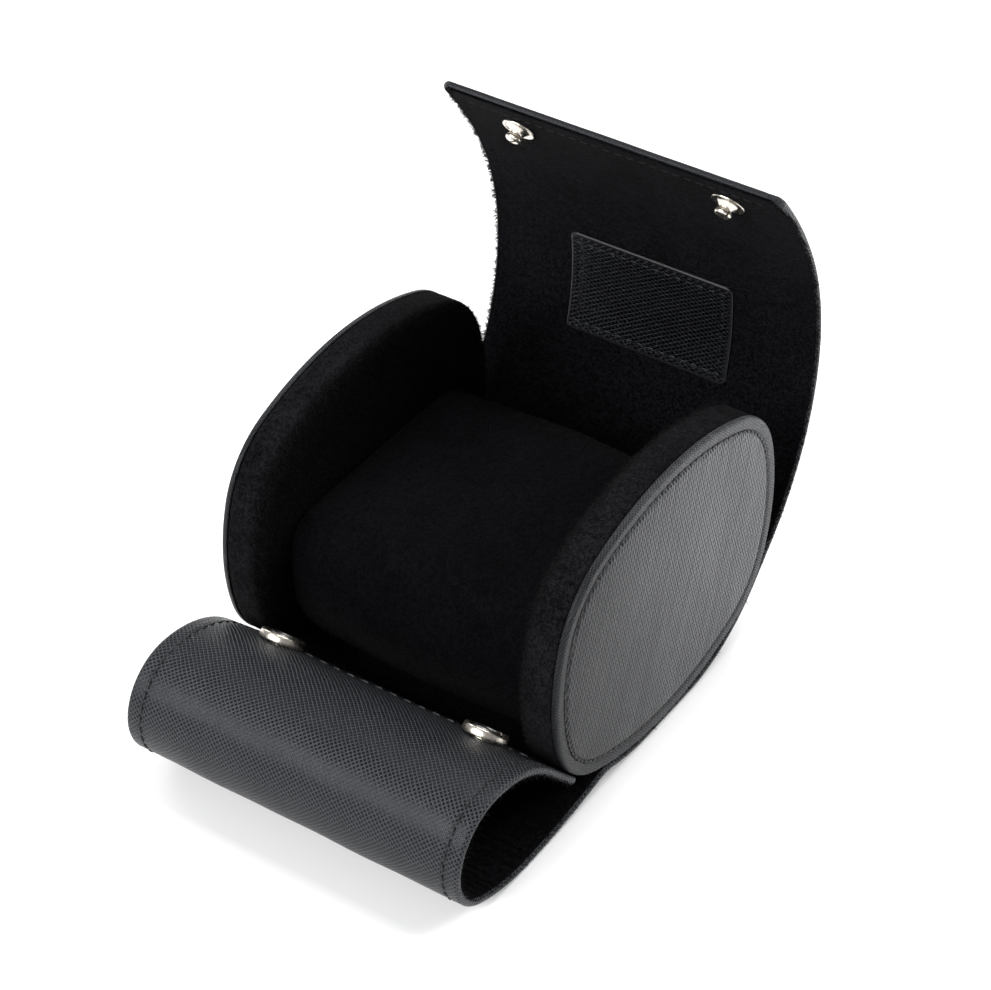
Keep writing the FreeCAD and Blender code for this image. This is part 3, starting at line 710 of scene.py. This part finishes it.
# Cushion: a crowned loaf, softened by a short cloth simulation
cushionShape = {"half": 34.5, "middle": -1.1, "halfDepth": 36.0, "height": 45.7, "floor": 2.6, "foot": 29.0,
                "brow": 8.0, "sideBulge": 5.0, "topBulge": 3.0, "crown": 1.2, "edge": 2.2, "spare": 1.3,
                "stations": 24, "endSteps": (0.1, 0.5, 1.2, 2.2), "around": 120, "voxel": 2.0, "frames": 20,
                "limit": 0.8, "sideRoom": 0.35, "floorRoom": 0.45, "simScale": 10.0}
cushionCloth = {"quality": 6, "mass": 0.4, "tension_stiffness": 25, "compression_stiffness": 25,
                "bending_stiffness": 2.0, "use_pressure": True, "uniform_pressure_force": 4.0}


def cushionSection(shrink, inset, count):
    c = cushionShape
    sine, cosine = math.sin(math.radians(c["sideBulge"])), math.cos(math.radians(c["sideBulge"]))
    topSine, topCosine = math.sin(math.radians(c["topBulge"])), math.cos(math.radians(c["topBulge"]))
    half, tall = c["halfDepth"] - shrink, c["height"] - shrink
    slope = math.tan(math.radians(c["topBulge"]) / 2)
    lean = cosine - topSine
    share = 2 * sine - slope * (1 - cosine)
    rest = tall - c["foot"] * (1 - sine) - c["brow"] * (topCosine - sine) - slope * (half - c["brow"] * lean)
    side = rest / share
    flat = half - c["foot"] * cosine - side * (1 - cosine)
    top = (flat + c["foot"] * cosine - c["brow"] * lean) / topSine
    foot = bend(90 - c["sideBulge"], c["foot"])
    wall = bend(2 * c["sideBulge"], side)
    brow = bend(90 - c["sideBulge"] - c["topBulge"], c["brow"])
    path = pathOf((c["middle"] - flat, c["floor"]), 0, [
        (2 * flat, 0), foot, wall, brow, bend(2 * c["topBulge"], top), brow, wall, foot])
    points = []
    for k in range(count):
        point, angle = pathAt(path, path["length"] * k / count)
        a = math.radians(angle)
        points.append((point[0] - math.sin(a) * inset, point[1] + math.cos(a) * inset))
    return points


def cushionMesh():
    c = cushionShape
    full, count = c["half"] + c["spare"], c["around"]
    stations = [-full + 2 * full * k / c["stations"] for k in range(c["stations"] + 1)]
    stations += [sign * (full - step) for sign in (-1, 1) for step in c["endSteps"]]
    stations = sorted(set(round(x, 4) for x in stations))
    points = []
    for x in stations:
        section = cushionSection(c["crown"] * abs(x) / c["half"], quarterRound(full - abs(x), c["edge"]), count)
        points += [(x * mm, y * mm, z * mm) for y, z in section]
    faces = [face[::-1] for face in gridFaces(len(stations), count)]
    faces += [endRing(0, count), endRing(len(stations) - 1, count)[::-1]]
    return newPiece("cushion", points, faces, suede)


def coordinates(mesh):
    values = np.zeros(len(mesh.vertices) * 3, np.float32)
    mesh.vertices.foreach_get("co", values)
    return values.reshape(-1, 3).astype(float)


def puffUp(piece, values):
    scale = values["simScale"]
    piece.data.transform(Matrix.Scale(scale, 4))
    remesh = piece.modifiers.new("remesh", "REMESH")
    remesh.mode = "VOXEL"
    remesh.voxel_size = values["voxel"] * mm * scale
    evaluated(piece)
    before = coordinates(piece.data)
    cloth = piece.modifiers.new("cloth", "CLOTH")
    for key, value in cushionCloth.items():
        setattr(cloth.settings, key, value)
    cloth.settings.effector_weights.gravity = 0
    cloth.point_cache.frame_start = 1
    cloth.point_cache.frame_end = values["frames"]
    for number in range(1, values["frames"] + 1):
        scene.frame_set(number)
    evaluated(piece)
    scene.frame_set(1)
    moved = coordinates(piece.data) - before
    reach = np.linalg.norm(moved, axis=1, keepdims=True)
    limit = values["limit"] * mm * scale
    print("cushion moved at most", round(float(reach.max()) / scale / mm, 2), "mm")
    moved *= np.minimum(1.0, limit / np.maximum(reach, 1e-9))
    after = (before + moved) / scale
    widest = (values["half"] + values["sideRoom"]) * mm
    after[:, 0] = np.clip(after[:, 0], -widest, widest)
    after[:, 2] = np.maximum(after[:, 2], (values["floor"] - values["floorRoom"]) * mm)
    piece.data.vertices.foreach_set("co", after.astype(np.float32).ravel())
    piece.data.update()
    smooth = piece.modifiers.new("smooth", "SUBSURF")
    smooth.levels = smooth.render_levels = 1
    evaluated(piece)
    piece.data.polygons.foreach_set("use_smooth", [True] * len(piece.data.polygons))


cushion = cushionMesh()
puffUp(cushion, cushionShape)
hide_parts("cushion_belt", "cushion_left_end", "cushion_right_end", "cushion_foam")
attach(cushion, "cushion")
print("cushion made")


# Label patch, bare, sewn to the lining of the back flap
labelShape = {"from": baseEnd + 43.0, "height": 28.0, "half": 22.2, "base": 2.0, "thick": 0.8, "corner": 1.6,
              "seam": 2.6, "groove": 0.14, "grooveWide": 0.35, "grooveEnd": 0.6, "border": 0.75, "sunk": 0.1,
              "edge": 0.45, "thin": 0.44, "columns": 21, "steps": (-0.5, -0.2, 0.0, 0.2, 0.5), "rowsFrom": 3.5,
              "rows": 22}
labelRound = [(0.0, 0.42), (0.04, 0.25), (0.14, 0.11), (0.28, 0.03)]
labelEnds = (0.0, 0.04, 0.14, 0.28, 0.45, 0.75, 1.2, 1.7, 2.1, 2.4, 2.6, 2.8)
labelFrom, labelTo = labelShape["from"], labelShape["from"] + labelShape["height"]
labelSeamX = labelShape["half"] - labelShape["seam"]


def labelProfile(u):
    v = labelShape
    end = min(u - labelFrom, labelTo - u)
    half = v["half"] - quarterRound(end, v["corner"])
    top = v["base"] + v["thick"] - min(quarterRound(end, v["edge"]), v["thin"])
    points = [(t * half, v["base"] - v["sunk"]) for t in (-1.0, -0.5, 0.0, 0.5, 1.0)]
    points += [(half - inset, top - drop) for inset, drop in labelRound]
    marks = set(columnMarks(half - v["edge"], v["columns"], labelSeamX, v["steps"]))
    marks |= {round(t * (half - v["border"]), 4) for t in (-1, 1)}
    for x in sorted(marks, reverse=True):
        near = min(abs(labelSeamX - abs(x)), abs(end - v["seam"]))
        inside = min(v["half"] - abs(x), end) > v["seam"] - v["grooveEnd"]
        points.append((x, top - (hollow(near, v["groove"], v["grooveWide"]) if inside else 0.0)))
    return points + [(inset - half, top - drop) for inset, drop in reversed(labelRound)]


labelMarks = sorted({labelFrom + step for step in labelEnds} | {labelTo - step for step in labelEnds}
                    | {labelFrom + labelShape["rowsFrom"] + k for k in range(labelShape["rows"])})
labelGrid, labelUv = sweep(labelMarks, labelProfile)
labelColumns = labelGrid.shape[1]
labelFaces = gridFaces(len(labelMarks), labelColumns)
labelFaces += [endRing(0, labelColumns), endRing(len(labelMarks) - 1, labelColumns)[::-1]]
label = newPiece("labelPatch", labelGrid.reshape(-1, 3), labelFaces, labelLeather, labelUv.reshape(-1, 2))
label.data.materials.append(labelBorder)
for number, polygon in enumerate(label.data.polygons):
    row = number // labelColumns
    if row < len(labelMarks) - 1:
        u = (labelMarks[row] + labelMarks[row + 1]) / 2
        near = min(u - labelFrom, labelTo - u, labelShape["half"] - abs(polygon.center.x) / mm)
        polygon.material_index = int(near < labelShape["border"])
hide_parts("label_patch")
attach(label, "back_upper")
print("label made")


# Ring snaps: outlines of radius and height, turned about their axes
snapShape = {"spread": 27.6, "studAt": backEnd - 12.35, "socketAt": frontEnd + 18.6, "turns": 48, "sharp": 38.0,
             "slotTurn": 35.0, "slotRise": 3.2, "slotSize": (6.0, 0.5, 2.4)}
sideways = np.array((1.0, 0, 0))


def snapPiece(name, outline, u, depth, up, made):
    other = np.cross(up, sideways)
    turns = [2 * math.pi * k / snapShape["turns"] for k in range(snapShape["turns"])]
    points, faces = [], []
    for sign in (-1, 1):
        at = onWrap(u, sign * snapShape["spread"], depth)
        faces += gridFaces(len(outline), len(turns), len(points))
        points += [(at + radius * (math.cos(a) * sideways + math.sin(a) * other) + rise * up) * mm
                   for radius, rise in outline for a in turns]
    piece = newPiece(name, points, faces, made)
    mesh = bmesh.new()
    mesh.from_mesh(piece.data)
    bmesh.ops.remove_doubles(mesh, verts=mesh.verts, dist=1e-7)
    bmesh.ops.recalc_face_normals(mesh, faces=mesh.faces)
    mesh.to_mesh(piece.data)
    mesh.free()
    piece.data.set_sharp_from_angle(angle=math.radians(snapShape["sharp"]))
    return piece


studOutline = [(0.0, 0.05), (3.8, 0.05), (4.0, 0.13), (4.1, 0.3), (4.02, 0.47), (3.8, 0.56), (3.5, 0.52), (3.25, 0.36),
               (2.9, 0.3), (2.65, 0.36), (2.4, 0.6), (2.1, 1.0), (1.82, 1.3), (1.62, 1.55), (1.6, 1.75), (1.75, 1.95),
               (1.95, 2.2), (2.06, 2.5), (2.04, 2.8), (1.9, 3.1), (1.62, 3.3), (1.22, 3.42), (0.75, 3.48), (0.0, 3.5)]
studUp = wrapAxes(snapShape["studAt"])[1]
studs = snapPiece("studs", studOutline, snapShape["studAt"], wrapBody["wall"], studUp, nickel)
cutter = newPiece("slotCutter", [], [], None)
slots = bmesh.new()
across = Matrix.Rotation(math.radians(snapShape["slotTurn"]), 3, Vector(studUp)) @ Vector(sideways)
along = Vector(studUp).cross(across)
slotSize = Matrix.Diagonal((*(length * mm for length in snapShape["slotSize"]), 1))
for sign in (-1, 1):
    at = onWrap(snapShape["studAt"], sign * snapShape["spread"], wrapBody["wall"] + snapShape["slotRise"]) * mm
    place = Matrix((*((across[k], along[k], studUp[k], at[k]) for k in range(3)), (0, 0, 0, 1)))
    bmesh.ops.create_cube(slots, size=1.0, matrix=place @ slotSize)
slots.to_mesh(cutter.data)
slots.free()
cut = studs.modifiers.new("slot", "BOOLEAN")
cut.object = cutter
cut.operation = "DIFFERENCE"
evaluated(studs)
studs.data.set_sharp_from_angle(angle=math.radians(snapShape["sharp"]))
bpy.data.objects.remove(cutter)
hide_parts("snap_studs")
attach(studs, "back_upper")

socketOutline = [(3.15, 0.2), (5.0, 0.05), (5.2, 0.12), (5.32, 0.35), (5.36, 0.7), (5.36, 1.2), (5.33, 1.6),
                 (5.24, 1.9), (5.05, 2.1), (4.8, 2.15), (4.58, 2.08), (4.45, 1.9), (4.38, 1.6), (4.3, 1.35),
                 (4.1, 1.2), (3.7, 1.12), (3.42, 1.05), (3.3, 0.9), (3.3, 0.4), (3.15, 0.2)]
socketUp = -wrapAxes(snapShape["socketAt"])[1]
sockets = snapPiece("sockets", socketOutline, snapShape["socketAt"], 0.0, socketUp, nickel)
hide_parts("snap_sockets")
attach(sockets, "front_tip")
for name in ("socket_posts", "socket_springs", "stud_posts"):
    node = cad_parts[name]
    node.data.materials.clear()
    node.data.materials.append(darkSteel if name == "socket_springs" else nickel)
print("snaps made")


# Helpers for the geometry trees
def geometryGroup(name, sizes):
    return group(name, [("Geometry", "Geometry", None), *sizes, ("Material", "Material", None)],
                 [("Geometry", "Geometry")], "GeometryNodeTree")


def named(tree, name, kind):
    return treeNode(tree, "GeometryNodeInputNamedAttribute", {"Name": name}, data_type=kind).outputs["Attribute"]


def randomNode(tree, kind, low, high, seed):
    node = treeNode(tree, "FunctionNodeRandomValue", {"Seed": seed}, data_type=kind)
    for socket, value in zip([s for s in node.inputs if s.enabled and s.name in ("Min", "Max")], (low, high)):
        feed(tree, socket, value)
    return [s for s in node.outputs if s.enabled][0]


def spreadOn(tree, points, instance, rotation, scale):
    spread = treeNode(tree, "GeometryNodeInstanceOnPoints", {
        "Points": points, "Instance": instance, "Rotation": rotation, "Scale": scale})
    real = treeNode(tree, "GeometryNodeRealizeInstances", {"Geometry": spread.outputs["Instances"]})
    return real.outputs["Geometry"]


def dress(tree, geometry, made, end):
    node = treeNode(tree, "GeometryNodeSetMaterial", {"Geometry": geometry, "Material": made})
    feed(tree, end["Geometry"], node.outputs["Geometry"])


# Stitches: one small thread shape at each point, turned along the seam
stitchTree, stitchIn, stitchOut = geometryGroup("stitches", [
    ("Length", "Float", 0.001), ("Width", "Float", 0.0005), ("Height", "Float", 0.0004), ("Vary", "Float", 0.1),
    ("Seed", "Int", 3)])
ball = treeNode(stitchTree, "GeometryNodeMeshUVSphere", {"Segments": 8, "Rings": 5, "Radius": 0.5})
ballSize = treeNode(stitchTree, "ShaderNodeCombineXYZ", {
    0: stitchIn["Length"], 1: stitchIn["Width"], 2: stitchIn["Height"]})
shaped = treeNode(stitchTree, "GeometryNodeTransform", {"Geometry": ball.outputs["Mesh"], "Scale": ballSize.outputs[0]})
turnTo = treeNode(stitchTree, "FunctionNodeAxesToRotation", {
    "Primary Axis": named(stitchTree, "along", "FLOAT_VECTOR"),
    "Secondary Axis": named(stitchTree, "up", "FLOAT_VECTOR")}, primary_axis="X", secondary_axis="Z")
vary = randomNode(stitchTree, "FLOAT", mathNode(stitchTree, "SUBTRACT", 1.0, stitchIn["Vary"]),
                  mathNode(stitchTree, "ADD", 1.0, stitchIn["Vary"]), stitchIn["Seed"])
sewn = spreadOn(stitchTree, stitchIn["Geometry"], shaped.outputs["Geometry"], turnTo.outputs["Rotation"], vary)
smoothed = treeNode(stitchTree, "GeometryNodeSetShadeSmooth", {"Geometry": sewn})
dress(stitchTree, smoothed.outputs["Geometry"], stitchIn["Material"], stitchOut)


def applyTree(piece, tree, values):
    modifier = piece.modifiers.new(tree.name, "NODES")
    modifier.node_group = tree
    for item in tree.interface.items_tree:
        if item.in_out == "INPUT" and item.name in values:
            modifier[item.identifier] = values[item.name]
    return evaluated(piece)


def vectorAttribute(mesh, name, values):
    attribute = mesh.attributes.new(name, "FLOAT_VECTOR", "POINT")
    attribute.data.foreach_set("vector", np.asarray(values, np.float32).ravel())


def sew(name, stitches, values, made=thread):
    piece = newPiece(name, [s[0] * mm for s in stitches], [], None)
    vectorAttribute(piece.data, "along", [s[1] for s in stitches])
    vectorAttribute(piece.data, "up", [s[2] for s in stitches])
    return applyTree(piece, stitchTree, {
        "Length": values["length"] * mm, "Width": values["width"] * mm, "Height": values["height"] * mm,
        "Vary": values["vary"], "Seed": values["seed"], "Material": made})


def evenly(first, last, pitch):
    count = round((last - first) / pitch)
    return [first + (last - first) * k / count for k in range(count + 1)]


wrapStitch = {"pitch": 3.0, "length": 2.1, "width": 0.55, "height": 0.5, "tilt": 6.0, "depth": 0.06, "vary": 0.08,
              "seed": 3}
snapStitch = dict(wrapStitch, pitch=3.9, length=2.6, height=0.7)
tilt = math.radians(wrapStitch["tilt"])


def wrapStitchAt(u, x, across):
    ahead, inward = wrapAxes(u)
    along = math.cos(tilt) * (sideways if across else ahead) + math.sin(tilt) * (ahead if across else sideways)
    at = onWrap(u, x, wrapStitch["depth"] + sway(u, x) * (1 - (x / wrapBody["halfWidth"]) ** 4))
    return at, along, -inward


wrapSeams = [[] for name in wrapNames]
for u in evenly(frontSeamAt, topSeamAt, wrapStitch["pitch"]):
    wrapSeams[bendIndex(u)] += [wrapStitchAt(u, sign * seamX, False) for sign in (-1, 1)]
for x in evenly(-seamX, seamX, wrapStitch["pitch"])[1:-1]:
    for u in (frontSeamAt, topSeamAt):
        wrapSeams[bendIndex(u)].append(wrapStitchAt(u, x, True))
for index, stitches in enumerate(wrapSeams):
    followBend(sew("seam" + wrapNames[index].capitalize(), stitches, wrapStitch))
# The row by the sockets is sewn with the lighter thread: painted highlight
stitches = [wrapStitchAt(frontEnd + wrapBody["snapSeam"], x, True)
            for x in evenly(-seamX, seamX, snapStitch["pitch"])[1:-1]]
followBend(sew("seamSnaps", stitches, snapStitch, glintPaintedThread))

# The top seam also shows on the lining, half hidden by the nap
liningStitch = dict(wrapStitch, length=2.3, width=0.3, height=0.34, depth=2.0)
stitches = [(onWrap(topSeamAt, x, liningStitch["depth"]), sideways, wrapAxes(topSeamAt)[1])
            for x in evenly(-seamX, seamX, liningStitch["pitch"])[1:-1]]
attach(sew("seamLining", stitches, liningStitch, liningThread), "back_upper")

capStitch = dict(wrapStitch, pitch=2.5, width=0.62, lift=-0.3)
for sideName, side in bothSides:
    stitches = []
    for run in evenly(0.0, ovalLength, capStitch["pitch"])[:-1]:
        y, z, outY, outZ = (np.interp(run, ovalRun, column, period=ovalLength)
                            for column in (*ovalAt.T, *ovalOut.T))
        out = np.array((outY, outZ))
        out /= np.linalg.norm(out)
        at = np.array((side * (capShape["outer"] + capStitch["lift"]), y - out[0] * capShape["stitch"],
                       z - out[1] * capShape["stitch"] + capShape["middle"]))
        stitches.append((at, np.array((0, -out[1], out[0])), side * sideways))
    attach(sew(sideName + "CapSeam", stitches, capStitch), "body")

labelStitch = dict(wrapStitch, pitch=3.1, length=2.0, width=0.4, height=0.3, sunk=0.02)
labelLow, labelHigh = labelFrom + labelShape["seam"], labelTo - labelShape["seam"]
labelTop = labelShape["base"] + labelShape["thick"] - labelStitch["sunk"]
stitches = [(onWrap(u, x, labelTop), sideways, wrapAxes(u)[1])
            for x in evenly(-labelSeamX, labelSeamX, labelStitch["pitch"]) for u in (labelLow, labelHigh)]
stitches += [(onWrap(u, sign * labelSeamX, labelTop), *wrapAxes(u))
             for u in evenly(labelLow, labelHigh, labelStitch["pitch"])[1:-1] for sign in (-1, 1)]
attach(sew("labelSeam", stitches, labelStitch), "back_upper")
print("stitches made")

# Fuzz: short fibres standing on the suede, denser where the nap shows against the light
fibreGrowth = (0.45, 1.2)  # shortest and longest, as shares of the length
fuzzTree, fuzzIn, fuzzOut = geometryGroup("fuzz", [
    ("Density", "Float", 1.0e6), ("Length", "Float", 0.0006), ("Radius", "Float", 0.00003), ("Tilt", "Float", 0.7),
    ("Seed", "Int", 5)])
thick = mathNode(fuzzTree, "MULTIPLY", named(fuzzTree, "fuzz", "FLOAT"), fuzzIn["Density"])
scatter = treeNode(fuzzTree, "GeometryNodeDistributePointsOnFaces", {
    "Mesh": fuzzIn["Geometry"], "Density": thick, "Seed": fuzzIn["Seed"]}).outputs
hair = treeNode(fuzzTree, "GeometryNodeMeshCone", {
    "Vertices": 3, "Radius Top": 0.0, "Radius Bottom": fuzzIn["Radius"], "Depth": fuzzIn["Length"]}, fill_type="NONE")
tilts = [treeNode(fuzzTree, "ShaderNodeCombineXYZ", {0: reach, 1: reach}).outputs[0]
         for reach in (mathNode(fuzzTree, "MULTIPLY", fuzzIn["Tilt"], -1.0), fuzzIn["Tilt"])]
lean = randomNode(fuzzTree, "FLOAT_VECTOR", *tilts, fuzzIn["Seed"])
leanTurn = treeNode(fuzzTree, "FunctionNodeEulerToRotation", {0: lean})
leaned = treeNode(fuzzTree, "FunctionNodeRotateRotation", {
    "Rotation": scatter["Rotation"], "Rotate By": leanTurn.outputs[0]}, rotation_space="LOCAL")
grown = randomNode(fuzzTree, "FLOAT", *fibreGrowth, fuzzIn["Seed"])
fuzzed = spreadOn(fuzzTree, scatter["Points"], hair.outputs["Mesh"], leaned.outputs["Rotation"], grown)
dress(fuzzTree, fuzzed, fuzzIn["Material"], fuzzOut)


def fuzzOn(name, source, share, values, made=fuzzFibre):
    mesh = source.data.copy()
    attribute = mesh.attributes.new("fuzz", "FLOAT", "POINT")
    points = coordinates(mesh) / mm
    attribute.data.foreach_set("value", share(points).astype(np.float32))
    piece = bpy.data.objects.new(name, mesh)
    scene.collection.objects.link(piece)
    applyTree(piece, fuzzTree, {"Density": values["density"] / mm ** 2, "Length": values["length"] * mm,
                                "Radius": values["radius"] * mm, "Tilt": values["tilt"], "Seed": values["seed"],
                                "Material": made})
    return piece


padFuzz = {"density": 5.0, "length": 1.1, "radius": 0.1, "tilt": 0.9, "seed": 5, "over": 1.0}
for sideName, side in bothSides:
    piece = fuzzOn(sideName + "CapFuzz", capPads[sideName],
                   lambda p: (np.abs(p[:, 0]) < capShape["inner"] + padFuzz["over"]).astype(float), padFuzz)
    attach(piece, "body")
cushionFuzz = dict(padFuzz, density=2.2, length=0.7, radius=0.05, seed=6, low=8.0, half=33.8)
piece = fuzzOn("cushionFuzz", cushion, lambda p: (
    (p[:, 2] > cushionFuzz["low"]) & (np.abs(p[:, 0]) < cushionFuzz["half"])).astype(float), cushionFuzz)
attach(piece, "cushion")
liningFuzz = dict(padFuzz, length=1.3, radius=0.075, tilt=1.15, seed=7, edge=1.5, share=0.42, under=5)
edgeHalf = wrapBody["halfWidth"] - wrapBody["hem"]
liningColumns = len(liningProfile(0.0))


def liningShare(points):
    column = np.arange(len(points)) % liningColumns
    above = (column > liningFuzz["under"]) & (column < liningColumns - 1)
    return np.where(np.abs(points[:, 0]) > edgeHalf - liningFuzz["edge"], 1.0, liningFuzz["share"]) * above


for index, source in enumerate(liningPieces):
    piece = fuzzOn("fuzz" + wrapNames[index].capitalize(), source, liningShare, liningFuzz, napFibre)
    followBend(piece)

# Longer fibres along the cut edge of the lining, on a narrow strip that is removed again
edgeFuzz = dict(padFuzz, density=10.0, length=1.5, radius=0.11, seed=8, rows=12, inset=0.15, wide=0.5, low=1.5,
                high=2.0, share=0.3, denseFrom=baseEnd - 20)
for index, name in enumerate(wrapNames):
    low, high = wrapCuts[index], wrapCuts[index + 1]
    rows = [low + (high - low) * k / edgeFuzz["rows"] for k in range(edgeFuzz["rows"] + 1)]
    points, faces = [], []
    for sign in (-1, 1):
        start = len(points)
        for u in rows:
            half = wrapBody["halfWidth"] - edgeFuzz["inset"] - quarterRound(fromEnd(u), wrapBody["corner"])
            points += [onWrap(u, sign * half, edgeFuzz["low"]) * mm,
                       onWrap(u, sign * (half - edgeFuzz["wide"]), edgeFuzz["high"]) * mm]
        for a in range(start, start + 2 * edgeFuzz["rows"], 2):
            faces.append((a, a + 2, a + 3, a + 1) if sign > 0 else (a, a + 1, a + 3, a + 2))
    strip = newPiece("edgeStrip", points, faces, None)
    share = 1.0 if low > edgeFuzz["denseFrom"] else edgeFuzz["share"]
    piece = fuzzOn("edgeFuzz" + name.capitalize(), strip, lambda p: np.full(len(p), share), edgeFuzz)
    bpy.data.objects.remove(strip)
    followBend(piece)
print("fuzz made")

# Floor, light and camera: far from the roll the floor fades to white for the camera only
floorLook = {"colour": (0.93, 0.93, 0.93), "roughness": 0.85, "half": 6.0, "fadeFrom": 0.45, "fadeTo": 1.2}
worldGlow = {"onObject": 0.34, "behind": 1.0}
floorMade, floorTree, floorShader = material("floor", floorLook["colour"], floorLook["roughness"])
reach = treeNode(floorTree, "ShaderNodeVectorMath", {0: objectVector(floorTree, 1.0)}, operation="LENGTH")
far = remap(floorTree, reach.outputs["Value"], floorLook["fadeFrom"], floorLook["fadeTo"])
seen = treeNode(floorTree, "ShaderNodeLightPath").outputs["Is Camera Ray"]
faded = treeNode(floorTree, "ShaderNodeMixShader", {
    0: mathNode(floorTree, "MULTIPLY", far, seen), 1: floorShader.outputs[0],
    2: treeNode(floorTree, "ShaderNodeEmission").outputs[0]})
feed(floorTree, floorTree.nodes["Material Output"].inputs["Surface"], faded.outputs[0])
half = floorLook["half"]
floorPiece = newPiece("floor", [(-half, -half, 0), (half, -half, 0), (half, half, 0), (-half, half, 0)],
                      [(0, 1, 2, 3)], floorMade)
scene.world = bpy.data.worlds.new("studio")
scene.world.use_nodes = True
worldTree = scene.world.node_tree
background = worldTree.nodes["Background"]
background.inputs["Color"].default_value = (1, 1, 1, 1)
seen = treeNode(worldTree, "ShaderNodeLightPath").outputs["Is Camera Ray"]
feed(worldTree, background.inputs["Strength"],
     remap(worldTree, seen, 0.0, 1.0, worldGlow["onObject"], worldGlow["behind"]))
scene.view_settings.view_transform = "Standard"


def aimed(name, data, place, aim):
    made = bpy.data.objects.new(name, data)
    made.location = place
    made.rotation_euler = (Vector(aim) - Vector(place)).to_track_quat("-Z", "Y").to_euler()
    scene.collection.objects.link(made)
    return made


# Each lamp's place, aim, size and power
studioLights = {
    "topLight": ((0.0, 0.65, 1.35), (0.0, 0.05, 0), (1.2, 1.2), 20),
    "leftLight": ((-1.3, 0.4, 0.8), (0, 0, 0.05), (0.8, 0.8), 9),
    "frontLight": ((-0.45, -1.5, 1.0), (0, -0.1, 0.0), (1.5, 0.9), 45),
    "rightLight": ((0.5, 0.45, 0.4), (0.11, 0.03, 0), (0.3, 0.3), 4),
}
for name, (place, aim, size, power) in studioLights.items():
    data = bpy.data.lights.new(name, "AREA")
    data.shape = "RECTANGLE"
    data.size, data.size_y = size
    data.energy = power
    aimed(name, data, place, aim)

cameraPlace = {"at": (0.30001, -0.44666, 0.47489), "aim": (0.001745, -0.00536, 0.050971), "lens": 110.45,
               "sensor": 36.0}
lens = bpy.data.cameras.new("camera")
lens.sensor_width = cameraPlace["sensor"]
lens.lens = cameraPlace["lens"]
scene.camera = aimed("camera", lens, cameraPlace["at"], cameraPlace["aim"])
print("stage made")
